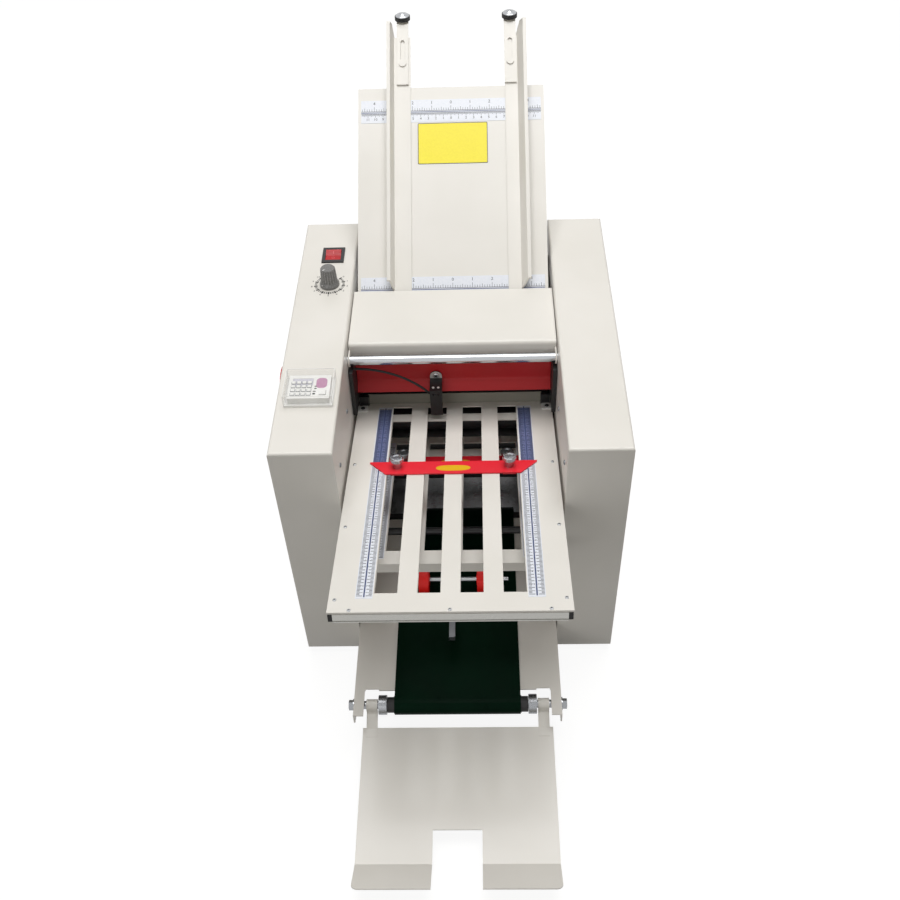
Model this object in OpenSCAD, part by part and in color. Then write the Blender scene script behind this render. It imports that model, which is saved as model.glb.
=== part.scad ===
// Desktop paper folding machine: two sheet-metal housings, an inclined feed table at the back,
// a six-roller fold train with two fold plates in front and two behind, a belt conveyor and a
// receiving tray. +X is to the right, the operator stands at -Y, the floor is Z = 0.
// Shapes are drawn in machine space (X = 0 on the centre plane, Y = 0 on the housings' front
// faces) and at_origin() moves the centre of the footprint to the origin.

/* [Housings] */
// Width of each side housing
housing_w = 72; // [64:1:90]
// Depth of the housings from front to back
housing_d = 440; // [425:5:480]
// Height of the housing tops above the floor
housing_top = 380; // [376:1:400]
// Clear gap between the two housings
gap_w = 256; // [250:1:280]
// Thickness of the folded housing sheet
shell_t = 1.5; // [1:0.1:2]
// Outside radius of the folded housing edges
edge_r = 3; // [2:0.5:5]
// Height of the rubber feet
foot_h = 12; // [8:1:16]
// Thickness of the base pan
pan_t = 2; // [1.5:0.5:3]

/* [Side frames] */
// Thickness of the steel side frames
frame_t = 5; // [4:0.5:6]
// Clearance between a side frame and the housing beside it
frame_gap = 0.5; // [0.3:0.1:0.8]
// Height of the side frames' top edge
frame_top = 342; // [338:1:344]
// Diameter of the tie rods
tie_d = 10; // [8:1:12]

/* [Fold rollers] */
// Diameter of the fold rollers
roller_d = 32; // [30:0.5:33]
// Gap between two rollers of a nip
nip_gap = 0.3; // [0.2:0.05:0.5]
// Depth of the first nip behind the housings' front faces
nip_y = 238; // [236:1:242]
// Height of the first nip
nip_z = 254; // [250:1:258]
// Downward angle of the first nip
feed_nip_a = 20; // [16:1:24]
// Downward angle of the nips that lead to the rear plates
rear_nip_a = 22; // [18:1:26]
// Downward angle of the last nip, towards the conveyor
exit_nip_a = 25; // [20:1:30]
// Diameter of the roller journals
journal_d = 10; // [8:1:12]
// Teeth on each fold roller's gear
gear_teeth = 22; // [20:1:24]
// Teeth on the idler between the feed roller and the first fold roller
idler_teeth = 36; // [36:1:40]
// Width of the gears
gear_w = 8; // [6:1:10]
// Diameter of the hand wheel
wheel_d = 48; // [40:1:56]
// How far the hand wheel stands out of the left housing
wheel_out = 25; // [22:1:30]

/* [Feed table] */
// Slope of the feed table, up to the rear
feed_a = 36; // [34:0.5:38]
// Distance of the feed nip behind the first nip
feed_back = 29.95; // [29:0.05:31]
// Height of the feed nip above the first nip
feed_rise = 81.1; // [80:0.1:82]
// Length of the feed table along its slope
feed_len = 281; // [276:1:282]
// Gap between the feed table's edge and the housing
feed_side = 5; // [4:0.5:8]
// Diameter of the feed roller
feed_roller_d = 28; // [24:1:28]
// Distance of the feed nip from the table's lower edge, along the slope
feed_reach = 46; // [44:1:48]
// Distance between the left guide's wall and the centre plane
guide_left = 76; // [60:0.5:90]
// Distance between the right guide's wall and the centre plane
guide_right = 89.5; // [70:0.5:95]
// Width of the left guide's web
left_web = 23; // [20:1:26]
// Width of the right guide's web
right_web = 17.5; // [17:0.5:24]
// Height of a guide's wall
guide_h = 14; // [10:1:16]
// How far the guides reach past the table's top edge
guide_over = 71; // [50:1:90]

/* [Fold plates] */
// Gap between a front fold plate's edge and the housing
plate_side = 3; // [2.5:0.5:6]
// Thickness of the fold plate sheets
plate_t = 1.5; // [1:0.1:2]
// Paper gap between the two sheets of a fold plate
paper_gap = 4.5; // [4:0.5:6]
// Slope of the upper front plate, up to the front
upper_a = 10.5; // [10:0.25:11]
// Distance of the upper plate's rear edge in front of the first nip
upper_gap = 24.4; // [24:0.1:26]
// Height of the upper plate's rear edge above the first nip
upper_rise = 1.1; // [0.8:0.1:1.5]
// Length of the upper plate
upper_len = 392; // [380:1:393]
// Slope of the lower front plate, up to the front
lower_a = 12.5; // [12:0.25:13]
// Distance of the lower plate's rear edge in front of the fourth roller's axis
lower_gap = 14.8; // [14.5:0.1:16]
// Height of the lower plate's rear edge above that axis
lower_rise = 15.9; // [15.5:0.1:16.5]
// Length of the lower plate
lower_len = 267; // [250:1:275]
// Length of each rear fold plate
rear_len = 228; // [200:1:240]
// Width of a fold plate's slots
slot_w = 24; // [20:1:26]
// Distance between two slots of a fold plate
slot_pitch = 44.5; // [44:0.5:45]
// Width of the rulers on the front plates
ruler_w = 18; // [16:1:19]
// Distance of the upper stop bar's edge from the plate's front edge
upper_stop = 231.5; // [210:0.5:250]
// Distance of the lower stop bar's edge from the plate's front edge
lower_stop = 192.5; // [170:0.5:195]
// Diameter of a thumbscrew's knurled head
thumb_d = 16; // [14:1:18]

/* [Cover and guard] */
// Depth of the top cover's front face
cover_y = 197; // [196:0.5:199]
// Depth of the top cover, front to back
cover_d = 105.3; // [100:0.1:106]
// Distance of the cover's top below the housing tops
cover_drop = 12.5; // [12:0.5:14]
// Depth of the cover's front flange
cover_flange = 19; // [16:1:22]
// Diameter of the chrome rod
rod_d = 12; // [10:1:13]
// Depth of the chrome rod's axis
rod_y = 186; // [184:0.5:188]
// Height of the chrome rod's axis
rod_z = 351.5; // [351:0.5:353]

/* [Conveyor] */
// Width of the belt
belt_w = 154; // [140:1:160]
// Thickness of the belt
belt_t = 1.2; // [1:0.1:1.5]
// Height of the belt's top run
belt_z = 64; // [62:1:66]
// Diameter over the belt at a conveyor roller
turn_d = 24; // [22:1:26]
// Depth of the front roller's axis
front_roll_y = -113; // [-125:1:-105]
// Depth of the rear roller's axis
rear_roll_y = 191; // [188:1:192]
// Diameter of the conveyor shafts
conv_shaft_d = 10; // [8:1:12]
// Diameter of the pusher wheels
push_wheel_d = 40; // [36:1:44]
// Depth of the pusher wheels' shaft
push_y = 54; // [40:1:70]

/* [Tray] */
// Width of the receiving tray
tray_w = 232; // [226:1:238]
// Depth of the tray's rear edge
tray_rear_y = -136; // [-140:1:-134]
// Height of the tray's rear edge
tray_rear_z = 36; // [34:1:38]
// Depth of the tray's bend
tray_bend_y = -300; // [-330:1:-280]
// Height of the tray's bend
tray_bend_z = 22; // [18:1:26]
// Length of the tray's front lip
tray_lip = 44; // [30:1:50]
// Angle of the front lip
tray_lip_a = 32; // [25:1:40]
// Width of the hand notch
notch_w = 57; // [40:1:70]
// Width of a tray hook
hook_w = 13.5; // [10:0.5:14]

/* [Controls] */
// Width of the counter
counter_w = 56; // [50:1:58]
// Depth of the counter
counter_d = 47; // [40:1:52]
// Height of the counter's clear lid
counter_h = 17; // [14:1:20]
// Diameter of the speed knob's skirt
knob_d = 25; // [20:1:28]
// Height of the speed knob
knob_h = 26; // [20:1:28]

/* [Hidden] */
$fn = 48;

paint = "#E6E2D6";
steel = "#A9ACAF";
zinc = "#C9CCD0";
dark = "#1E1F20";
rubber = "#232323";
stop_red = "#E8293A";
eps = 0.01;
run = 0.05;    // radial clearance of a shaft that turns in a bore
seat = 0.02;   // radial clearance of a piece that is pressed on a shaft
touch = 0.3;   // gap between faces of pieces that move past each other

half_gap = gap_w / 2;
half_w = half_gap + housing_w;
inner_x = half_gap + shell_t;
frame_out = half_gap - frame_gap;
frame_in = frame_out - frame_t;
pan_top = foot_h + pan_t;
rim_h = 14;

// Roller axes as [Y, Z], from the first nip down to the conveyor
pitch = roller_d + nip_gap;
function lean(a) = [sin(a), cos(a)];
axis_1 = [nip_y, nip_z] + pitch / 2 * [-sin(feed_nip_a), cos(feed_nip_a)];
axis_2 = [nip_y, nip_z] - pitch / 2 * [-sin(feed_nip_a), cos(feed_nip_a)];
axis_3 = axis_2 - pitch * lean(rear_nip_a);
axis_4 = axis_3 - pitch * lean(lower_a);
axis_5 = axis_4 - pitch * lean(rear_nip_a);
axis_6 = axis_5 + pitch * [sin(exit_nip_a), -cos(exit_nip_a)];
axes = [axis_1, axis_2, axis_3, axis_4, axis_5, axis_6];
journal_r = journal_d / 2;
bearing_r = journal_r + 6;
roller_half = frame_in - 4.5;

feed_nip = feed_len + feed_reach;
feed_y = nip_y + feed_back + feed_nip * cos(feed_a);
feed_z = nip_z + feed_rise + feed_nip * sin(feed_a);

// A point of the feed table: s down the slope from its top edge, h above its face
function feed_pt(s, h) = [feed_y - s * cos(feed_a) - h * sin(feed_a),
    feed_z - s * sin(feed_a) + h * cos(feed_a)];
feed_axis = feed_pt(feed_nip, feed_roller_d / 2 + touch);
feed_half = half_gap - feed_side;

// Gears: all share one module, so that neighbouring fold rollers mesh at the roller pitch
gear_m = pitch / gear_teeth;
gear_x = -(half_gap + 8 + gear_w);
function apex(p, q, r) = (p + q) / 2
    + sqrt(max(0, r * r - pow(norm(q - p) / 2, 2))) * [-(q - p)[1], (q - p)[0]] / norm(q - p);
idler_axis = apex(axis_1, feed_axis, gear_m * (gear_teeth + idler_teeth) / 2);
function bearing_angle(p, q) = atan2(q[1] - p[1], q[0] - p[0]);
// Phase of a gear with n teeth at q that meshes with one of m teeth at p and phase a
function mesh(p, a, m, q, n) = bearing_angle(p, q) + 180
    + (bearing_angle(p, q) - a) * m / n - 180 / n;
phase_1 = 0;
phase_2 = mesh(axis_1, phase_1, gear_teeth, axis_2, gear_teeth);
phase_3 = mesh(axis_2, phase_2, gear_teeth, axis_3, gear_teeth);
phase_4 = mesh(axis_3, phase_3, gear_teeth, axis_4, gear_teeth);
phase_5 = mesh(axis_4, phase_4, gear_teeth, axis_5, gear_teeth);
phase_6 = mesh(axis_5, phase_5, gear_teeth, axis_6, gear_teeth);
phases = [phase_1, phase_2, phase_3, phase_4, phase_5, phase_6];
phase_idler = mesh(axis_1, phase_1, gear_teeth, idler_axis, idler_teeth);
phase_feed = mesh(idler_axis, phase_idler, idler_teeth, feed_axis, gear_teeth);

// Fold plates
plate_half = half_gap - plate_side;
plate_flange = 12;
base_drop = plate_t + paper_gap;
slot_x = [for (i = [-1.5:1:1.5]) i * slot_pitch];
ruler_in = 1.5 * slot_pitch + slot_w / 2 + 1;
base_cut = 21;     // the bottom sheet of a front plate ends this far before the top sheet
upper_slots = [28, upper_len - 13];
lower_slots = [24, lower_len - 15];
upper_y = nip_y - upper_gap - upper_len * cos(upper_a);
upper_z = nip_z + upper_rise + upper_len * sin(upper_a);
lower_y = axis_4[0] - lower_gap - lower_len * cos(lower_a);
lower_z = axis_4[1] + lower_rise + lower_len * sin(lower_a);
rear_slots = [14, rear_len - 24];
nip_2 = (axis_2 + axis_3) / 2;
nip_4 = (axis_4 + axis_5) / 2;
rear_start = roller_d / 2 + 6;
rear_half = frame_in - 0.5;

// Drive in the right housing
motor_axis = [housing_d - 95, 78];
motor_d = 66;
motor_shaft_r = 4;
main_belt_x = half_gap + 8;
conv_belt_x = half_gap + 20;
pulley_w = 8;
motor_pulley_r = 12;
main_pulley_r = 30;
conv_pulley_r = 10;
cord_t = 3;

// Conveyor
turn_r = turn_d / 2;
conv_z = belt_z - turn_r;
conv_roll_r = turn_r - belt_t - touch;
conv_half = half_gap - 1.5;
deck_t = 1.5;
deck_z = belt_z - belt_t - touch;
conv_shaft_r = conv_shaft_d / 2;
ear_in = 114;
ear_y = front_roll_y - 21;
deck_front = front_roll_y + turn_r + 2;
conv_rear = rear_roll_y + 14;
hook_x = 105;

// Pusher over the conveyor
push_x = -6;
push_track = 38;
push_z = belt_z + touch + push_wheel_d / 2;
bar_w = 7.5;
bar_z = push_z + 12;
bar_front = -47;
bar_rear = 132;
bar_rod = [bar_rear - 14, bar_z + bar_w / 2 + 7];
bar_rod_r = 5;

// Controls on the left housing
counter_x = -(half_gap + 33.5);
counter_y = 74;
knob_x = -(half_gap + 29.3);
knob_y = 302;
switch_x = -(half_gap + 29.8);
switch_y = 364.5;
bezel = [29, 32, 2];
rocker_size = [20, 22];

guard_y = 206;

// Centre of the footprint
wheel_face = -(half_w + wheel_out);
lip_front = tray_bend_y - tray_lip * cos(tray_lip_a);
ext_tip = guide_over + 17;
tab_l = 15;
tip_rear = feed_pt(-ext_tip, 0)[0] + tab_l + 2;
centre = [(wheel_face + half_w) / 2, (lip_front + tip_rear) / 2];

module at_origin() {
    translate([-centre[0], -centre[1], 0]) children();
}

// ---- Shared shapes ----

// Extrudes a [Y, Z] outline from x0 to x1
module yz(x0, x1) {
    translate([x0, 0, 0]) rotate([90, 0, 90]) linear_extrude(x1 - x0) children();
}

// A cylinder along X from x0 to x1, on the axis p = [Y, Z]
module bar_x(p, r, x0, x1) {
    translate([x0, p[0], p[1]]) rotate([0, 90, 0]) cylinder(r = r, h = x1 - x0);
}

module both_sides() {
    children();
    mirror([1, 0, 0]) children();
}

function unit(v) = v / norm(v);
function left_of(v) = [-v[1], v[0]];
function seg_normal(p, i) = left_of(unit(p[i + 1] - p[i]));
// The point of path p at i, moved sideways by d with mitred corners
function side_pt(p, i, d) =
    let (a = seg_normal(p, max(0, i - 1)), b = seg_normal(p, min(len(p) - 2, i)))
    p[i] + d * (a + b) / (1 + a * b);
// Outline of a sheet of thickness t laid along the left side of path p
function sheet(p, t) = concat(p, [for (i = [len(p) - 1:-1:0]) side_pt(p, i, t)]);
function arc(c, r, a0, a1, n) = [for (i = [0:n]) c + r * [cos(a0 + (a1 - a0) * i / n),
    sin(a0 + (a1 - a0) * i / n)]];

// Slot with round ends along Y from y0 to y1
module round_slot(x, y0, y1, w) {
    translate([x - w / 2, y0 + w / 2]) square([w, y1 - y0 - w]);
    translate([x, y0 + w / 2]) circle(d = w);
    translate([x, y1 - w / 2]) circle(d = w);
}

function inv(a) = tan(a) * 180 / PI - a;
// Involute spur gear outline, centred, with one tooth pointing along +X at phase 0
module gear_outline(n, m) {
    rp = n * m / 2;
    rb = rp * cos(20);
    tip = rp + 0.9 * m;
    root = rp - 1.2 * m;
    half = 90 / n * 0.9;
    radii = [root, rb, rp, tip];
    function spread(r) = half + inv(20) - inv(acos(min(1, rb / max(r, rb))));
    flank = [for (r = radii) [r, r < rb ? spread(rb) * 1.12 : spread(r)]];
    polygon([for (t = [0:n - 1], side = [-1, 1], k = [0:len(radii) - 1])
        let (f = flank[side < 0 ? k : len(radii) - 1 - k], a = t * 360 / n + side * f[1])
        f[0] * [cos(a), sin(a)]]);
}

// Gear on the axis p = [Y, Z] from x0 to x1, bored for a shaft of radius r
module gear(p, n, phase, x0, x1, r) {
    yz(x0, x1) translate(p) difference() {
        rotate(phase) gear_outline(n, gear_m);
        circle(r = r);
    }
}

// Round belt or flat belt round two pulleys, as a [Y, Z] outline of thickness t
module belt_outline(p, rp, q, rq, t) {
    a = bearing_angle(p, q);
    b = acos((rp - rq) / norm(q - p));
    function loop(d) = concat(arc(q, rq + d, a - b, a + b, 16),
        arc(p, rp + d, a + b, a + 360 - b, 16));
    difference() {
        polygon(loop(t));
        polygon(loop(0));
    }
}

// ---- Base, frames and housings ----

module base_pan() {
    color(steel) at_origin() difference() {
        x = half_w - shell_t - touch;
        y0 = shell_t + touch;
        y1 = housing_d - shell_t - touch;
        translate([-x, y0, foot_h]) cube([2 * x, y1 - y0, rim_h]);
        translate([-x + pan_t, y0 + pan_t, pan_top])
            cube([2 * (x - pan_t), y1 - y0 - 2 * pan_t, rim_h]);
        // the front rim drops where the conveyor runs out between the housings
        translate([-half_gap, -eps, pan_top]) cube([gap_w, 20, rim_h]);
        for (sx = [-1, 1], i = [0:5])
            translate([sx * (half_gap + housing_w / 2), 130 + i * 30, foot_h - eps])
                linear_extrude(pan_t + 1) round_slot(0, -20, 20, 6);
    }
}

foot_at = [half_w - 26, 34, housing_d - 34];

module rubber_feet() {
    color(rubber) at_origin() both_sides() for (y = [foot_at[1], foot_at[2]])
        translate([foot_at[0], y, 0]) rotate_extrude() difference() {
            polygon([[3, 0], [13, 0], [15, 2], [17, foot_h], [3, foot_h]]);
            square([7, 5]);
        }
}

module frame_outline() {
    notch_z = [axis_2[1] - 12, axis_1[1] + 3];
    difference() {
        union() {
            polygon([[conv_rear + 3, pan_top], [housing_d - 12, pan_top],
                [housing_d - 12, frame_top - 20], [housing_d - 32, frame_top],
                [172, frame_top], [172, notch_z[1]], [nip_y - 24, notch_z[1]],
                [nip_y - 24, notch_z[0]], [axis_5[0] - 26, notch_z[0]],
                [axis_5[0] - 26, axis_6[1] - 26], [conv_rear + 3, axis_6[1] - 40]]);
            translate(feed_axis) circle(r = journal_r + 7);
            translate([feed_axis[0] - journal_r - 7, frame_top - 8])
                square([2 * journal_r + 14, feed_axis[1] - frame_top + 8]);
        }
        for (p = axes) translate(p) circle(r = bearing_r);
        translate(feed_axis) circle(r = journal_r + run);
        // lightening windows behind the rollers
        translate([housing_d - 140, 60]) square([100, 70]);
        translate([housing_d - 140, 240]) square([100, 60]);
    }
}

module left_side_frame() {
    color(dark) at_origin() {
        yz(-frame_out, -frame_in) frame_outline();
        // stud of the idler gear, with its retaining head
        bar_x(idler_axis, journal_r, gear_x - 3, -frame_out + eps);
        bar_x(idler_axis, journal_r + 2, gear_x - 5, gear_x - 2 - touch);
    }
}

module right_side_frame() {
    color(dark) at_origin() yz(frame_in, frame_out) frame_outline();
}

module housing_block(grow) {
    x0 = half_gap - grow;
    x1 = half_w + grow;
    r = edge_r + grow;
    z1 = housing_top + grow;
    intersection() {
        translate([0, -grow, 0]) rotate([90, 0, 0]) mirror([0, 0, 1])
            linear_extrude(housing_d + 2 * grow) {
                translate([x0, foot_h]) square([x1 - x0, z1 - foot_h - r]);
                translate([x0 + r, foot_h]) square([x1 - x0 - 2 * r, z1 - foot_h]);
                translate([x0 + r, z1 - r]) circle(r = r);
                translate([x1 - r, z1 - r]) circle(r = r);
            }
        yz(x0 - 1, x1 + 1) {
            translate([-grow, foot_h - 1]) square([housing_d + 2 * grow, z1 - foot_h - r + 1]);
            translate([r - grow, foot_h - 1])
                square([housing_d - 2 * (r - grow), z1 - foot_h + 1]);
            translate([r - grow, z1 - r]) circle(r = r);
            translate([housing_d + grow - r, z1 - r]) circle(r = r);
        }
    }
}

// The right housing; the left one is its mirror image with its own cut-outs
module housing_shell() {
    difference() {
        housing_block(0);
        translate([0, 0, -eps - foot_h]) scale([1, 1, 1]) intersection() {
            translate([0, 0, foot_h]) housing_block(-shell_t);
            translate([0, 0, 0]) cube([half_w + 10, housing_d + 10, housing_top * 2]);
        }
        translate([inner_x, shell_t, foot_h - 1])
            cube([housing_w - 2 * shell_t, housing_d - 2 * shell_t, 20]);
        // service opening behind the side frame
        yz(half_gap - 1, inner_x + 1) {
            translate([axis_5[0] - 18, 100]) square([190, frame_top - 112]);
            translate(feed_axis) circle(r = journal_r + 4);
        }
        // the inner wall ends above the base pan's rim
        translate([half_gap - 1, shell_t, foot_h - 1])
            cube([shell_t + 2, housing_d - 2 * shell_t, 1 + rim_h + touch]);
        // louvres in the outer wall
        for (i = [0:5]) translate([half_w - shell_t - 1, housing_d - 140, 60 + i * 12])
            cube([shell_t + 2, 90, 4]);
    }
}

module left_housing() {
    color(paint) at_origin() difference() {
        mirror([1, 0, 0]) housing_shell();
        bar_x(axis_1, journal_r + 2, -half_w - 1, -half_w + shell_t + 1);
        translate([switch_x, switch_y, housing_top - 5])
            cube([rocker_size[0] + 3, rocker_size[1] + 3, 12], center = true);
        translate([knob_x, knob_y, housing_top - 5]) cylinder(r = 4, h = 10);
        translate([counter_x - 6, counter_y + counter_d / 2 - 9, housing_top - 5])
            cube([12, 18, 10]);
    }
}

module right_housing() {
    color(paint) at_origin() difference() {
        housing_shell();
        bar_x([rear_roll_y, conv_z], conv_shaft_r + 4, half_gap - 1, inner_x + 1);
        // recess for the power inlet in the rear wall
        translate([half_gap + housing_w / 2, housing_d, 60])
            cube([inlet_size[0], 10, inlet_size[1]], center = true);
    }
}

inlet_size = [27, 20];

module power_inlet() {
    color(dark) at_origin() translate([half_gap + housing_w / 2, housing_d, 60]) difference() {
        union() {
            translate([-24, 0, -15]) cube([48, 2.5, 30]);
            translate([-13.3, -22, -9.8]) cube([26.6, 22 + eps, 19.6]);
        }
        translate([-11.5, -16, -7.5]) cube([23, 30, 15]);
    }
    color(zinc) at_origin() for (x = [-6, 0, 6])
        translate([half_gap + housing_w / 2 + x - 1, housing_d - 16 - eps, 57 + (x == 0 ? 2 : 0)])
            cube([2, 14, 4]);
}

// Rods between the side frames, and the rod that carries the pusher's bar
module tie_rods() {
    color(dark) at_origin() {
        for (p = tie_at) bar_x(p, tie_d / 2, -frame_in, frame_in);
        bar_x(bar_rod, bar_rod_r, -half_gap, half_gap);
    }
}

// Square bar over the belt, with the block that clamps it under its rod
module pusher_bar() {
    color(zinc) at_origin() difference() {
        union() {
            translate([push_x - bar_w / 2, bar_front, bar_z - bar_w / 2])
                cube([bar_w, bar_rear - bar_front, bar_w]);
            translate([push_x - 9, bar_rod[0] - 10, bar_z - bar_w / 2 - 3]) cube([18, 20, 24]);
        }
        bar_x(bar_rod, bar_rod_r + seat, push_x - 10, push_x + 10);
    }
}

tie_at = [[guard_y + 12, frame_top - 24], [housing_d - 120, frame_top - 34],
    [housing_d - 30, 40], [housing_d - 140, 42]];

module roller_bearings() {
    color(zinc) at_origin() for (p = axes, sx = [-1, 1])
        bearing(p, sx > 0 ? frame_in : -frame_out - 1);
}

module bearing(p, x) {
    difference() {
        bar_x(p, bearing_r - seat, x, x + frame_t + 1);
        bar_x(p, journal_r + run, x - 1, x + frame_t + 2);
    }
}

// ---- Rollers and gears ----

module fold_roller(i) {
    p = axes[i];
    left_end = i == 0 ? wheel_face + 4 : gear_x - 4;
    right_end = i == 5 ? conv_belt_x + pulley_w + 2 : frame_out + 4;
    color(rubber) at_origin() difference() {
        bar_x(p, roller_d / 2, -roller_half, roller_half);
        // fine lateral grooves at the ends of the rubber sleeve
        for (sx = [-1, 1], k = [0:2])
            translate([sx * (roller_half - 6 - 5 * k), p[0], p[1]]) rotate([0, 90, 0])
                rotate_extrude() translate([roller_d / 2 - 0.6, 0]) square([2, 1]);
    }
    color(steel) at_origin() {
        bar_x(p, journal_r + 2, -frame_in + 0.4, -roller_half + eps);
        bar_x(p, journal_r + 2, roller_half - eps, frame_in - 0.4);
        bar_x(p, journal_r, left_end, -frame_in + 1);
        bar_x(p, journal_r, frame_in - 1, right_end);
    }
    color(zinc) at_origin() difference() {
        gear(p, gear_teeth, phases[i], gear_x, gear_x + gear_w, journal_r - eps);
        // dished face of the gear
        translate([gear_x - eps, p[0], p[1]]) rotate([0, 90, 0]) difference() {
            cylinder(r = gear_m * gear_teeth / 2 - 3.5, h = 1.5);
            cylinder(r = journal_r + 3, h = 1.5);
        }
    }
    if (i == 5) color(zinc) at_origin() {
        pulley(p, main_pulley_r, main_belt_x);
        pulley(p, conv_pulley_r, conv_belt_x);
    }
}

// A pulley with two low flanges, solid on its shaft
module pulley(p, r, x) {
    bar_x(p, r, x, x + pulley_w);
    for (dx = [0, pulley_w - 1]) bar_x(p, r + 2, x + dx, x + dx + 1);
}

module fold_roller_1() { fold_roller(0); }
module fold_roller_2() { fold_roller(1); }
module fold_roller_3() { fold_roller(2); }
module fold_roller_4() { fold_roller(3); }
module fold_roller_5() { fold_roller(4); }
module fold_roller_6() { fold_roller(5); }

module feed_roller() {
    color(rubber) at_origin() for (sx = [-1, 1]) difference() {
        bar_x(feed_axis, feed_roller_d / 2, sx * 22 - 12, sx * 22 + 12);
        for (k = [0:3]) translate([sx * 22 - 7.5 + 5 * k - 0.5, feed_axis[0], feed_axis[1]])
            rotate([0, 90, 0]) rotate_extrude() translate([feed_roller_d / 2 - 0.8, 0])
                square([2, 1]);
    }
    color(steel) at_origin() {
        bar_x(feed_axis, journal_r + 3, -34 - eps, 34);
        bar_x(feed_axis, journal_r, gear_x - 4, frame_out + 3);
    }
    color(zinc) at_origin()
        gear(feed_axis, gear_teeth, phase_feed, gear_x, gear_x + gear_w, journal_r - eps);
}

module idler_gear() {
    color(zinc) at_origin() {
        gear(idler_axis, idler_teeth, phase_idler, gear_x, gear_x + gear_w, journal_r + run);
        difference() {
            bar_x(idler_axis, journal_r + 4, gear_x - 2, gear_x + eps);
            bar_x(idler_axis, journal_r + run, gear_x - 3, gear_x + 1);
        }
    }
}

module hand_wheel() {
    p = axis_1;
    rim = wheel_d / 2;
    x1 = -(half_w + 7);
    color("#C61D2B") at_origin() difference() {
        translate([x1, p[0], p[1]]) rotate([0, -90, 0]) rotate_extrude() polygon(concat(
            [[0, 0], [9, 0], [9, 3], [rim - 6, 3], [rim - 1, 2]],
            [for (a = [-60:30:60]) [rim - 2 + 2 * cos(a), wheel_out - 7 - 8 + 8 * sin(a) * 0.7]],
            [[rim - 4, wheel_out - 7], [rim - 7, wheel_out - 9], [9, wheel_out - 9],
            [8, wheel_out - 7], [0, wheel_out - 7]]));
        bar_x(p, journal_r + seat, wheel_face + 4 - seat, x1 + 1);
        // finger scallops round the rim
        for (i = [0:11]) translate([x1 - wheel_out, p[0], p[1]]) rotate([0, 90, 0])
            rotate(i * 30) translate([rim + 3.4, 0, 0]) cylinder(r = 5, h = wheel_out + 1);
    }
}

module motor() {
    x0 = main_belt_x + pulley_w + 8;
    color("#3A3D42") at_origin() {
        difference() {
            union() {
                bar_x(motor_axis, motor_d / 2, x0, x0 + 42);
                bar_x(motor_axis, 13, x0 - 6, x0 + eps);
            }
            bar_x(motor_axis, motor_shaft_r + run, x0 - 7, x0 + 4);
        }
        for (k = [0:3]) bar_x(motor_axis, motor_d / 2 + 1.5, x0 + 6 + 8 * k, x0 + 9 + 8 * k);
        // foot that bolts to the base pan
        translate([x0 + 4, motor_axis[0] - 26, pan_top])
            cube([34, 52, motor_axis[1] - pan_top - 20]);
    }
}

module motor_pulley() {
    color(zinc) at_origin() {
        pulley(motor_axis, motor_pulley_r, main_belt_x);
        bar_x(motor_axis, motor_shaft_r, main_belt_x - 3, main_belt_x + pulley_w + 8);
    }
}

module drive_belts() {
    color(dark) at_origin() {
        yz(main_belt_x + 1.3, main_belt_x + pulley_w - 1.3)
            belt_outline(axis_6, main_pulley_r + touch, motor_axis, motor_pulley_r + touch, 1.6);
        yz(conv_belt_x + 2.5, conv_belt_x + pulley_w - 2.5)
            belt_outline(axis_6, conv_pulley_r + touch, [rear_roll_y, conv_z],
                conv_pulley_r + touch, cord_t);
    }
}

// ---- Feed section ----

module on_feed() {
    translate([0, feed_y, feed_z]) rotate([feed_a, 0, 0]) children();
}

module feed_table() {
    flange = 12;
    color(paint) at_origin() {
        on_feed() {
            translate([-feed_half, -feed_len, -1.5]) cube([2 * feed_half, feed_len, 1.5]);
            both_sides() translate([feed_half - 1.5, -feed_len, -flange])
                cube([1.5, feed_len, flange]);
            translate([-feed_half, -1.5, -flange]) cube([2 * feed_half, 1.5, flange]);
        }
        // gussets that carry the table on the side frames
        both_sides() yz(frame_in - 3.2, frame_in - 0.2) {
            a = feed_pt((feed_y - housing_d + 57.6) / cos(feed_a), -1);
            b = feed_pt(70, -1);
            polygon([[a[0], a[1]], b, [b[0], b[1] - 26], [housing_d - 22, frame_top - 40],
                [housing_d - 22, frame_top - 90], [a[0], frame_top - 90]]);
        }
    }
}

chute_turn = [axis_1[0] + roller_d / 2 + 5, axis_1[1] + 30];

module feed_chute() {
    a = feed_pt(feed_len + 3, -1.5);
    b = feed_pt(feed_nip + 14, -1.5);
    color(steel) at_origin() difference() {
        yz(-frame_in + 0.5, frame_in - 0.5) polygon(sheet(concat([a, b],
            [chute_turn, [chute_turn[0] + 0.5, axis_1[1] + 2]],
            [[axis_1[0] + roller_d / 2 + 1.5, axis_1[1] - 7.5]]), 1.5));
        on_feed() translate([-25.5, -feed_nip - 13.5, -8]) cube([51, 27, 12]);
    }
}

module separator_pad() {
    color("#5B4A3A") at_origin() on_feed() translate([-25, -feed_nip - 13, -7]) difference() {
        cube([50, 26, 7]);
        for (k = [0:4]) translate([-1, 3 + 5 * k, 6.4]) cube([52, 1.2, 1]);
    }
}

// ---- Cover, rod and guard ----

cover_z = housing_top - cover_drop;
cover_half = half_gap - 1;

module chrome_rod() {
    color("#D8DADD") at_origin() bar_x([rod_y, rod_z], rod_d / 2, -half_gap, half_gap);
}

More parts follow.
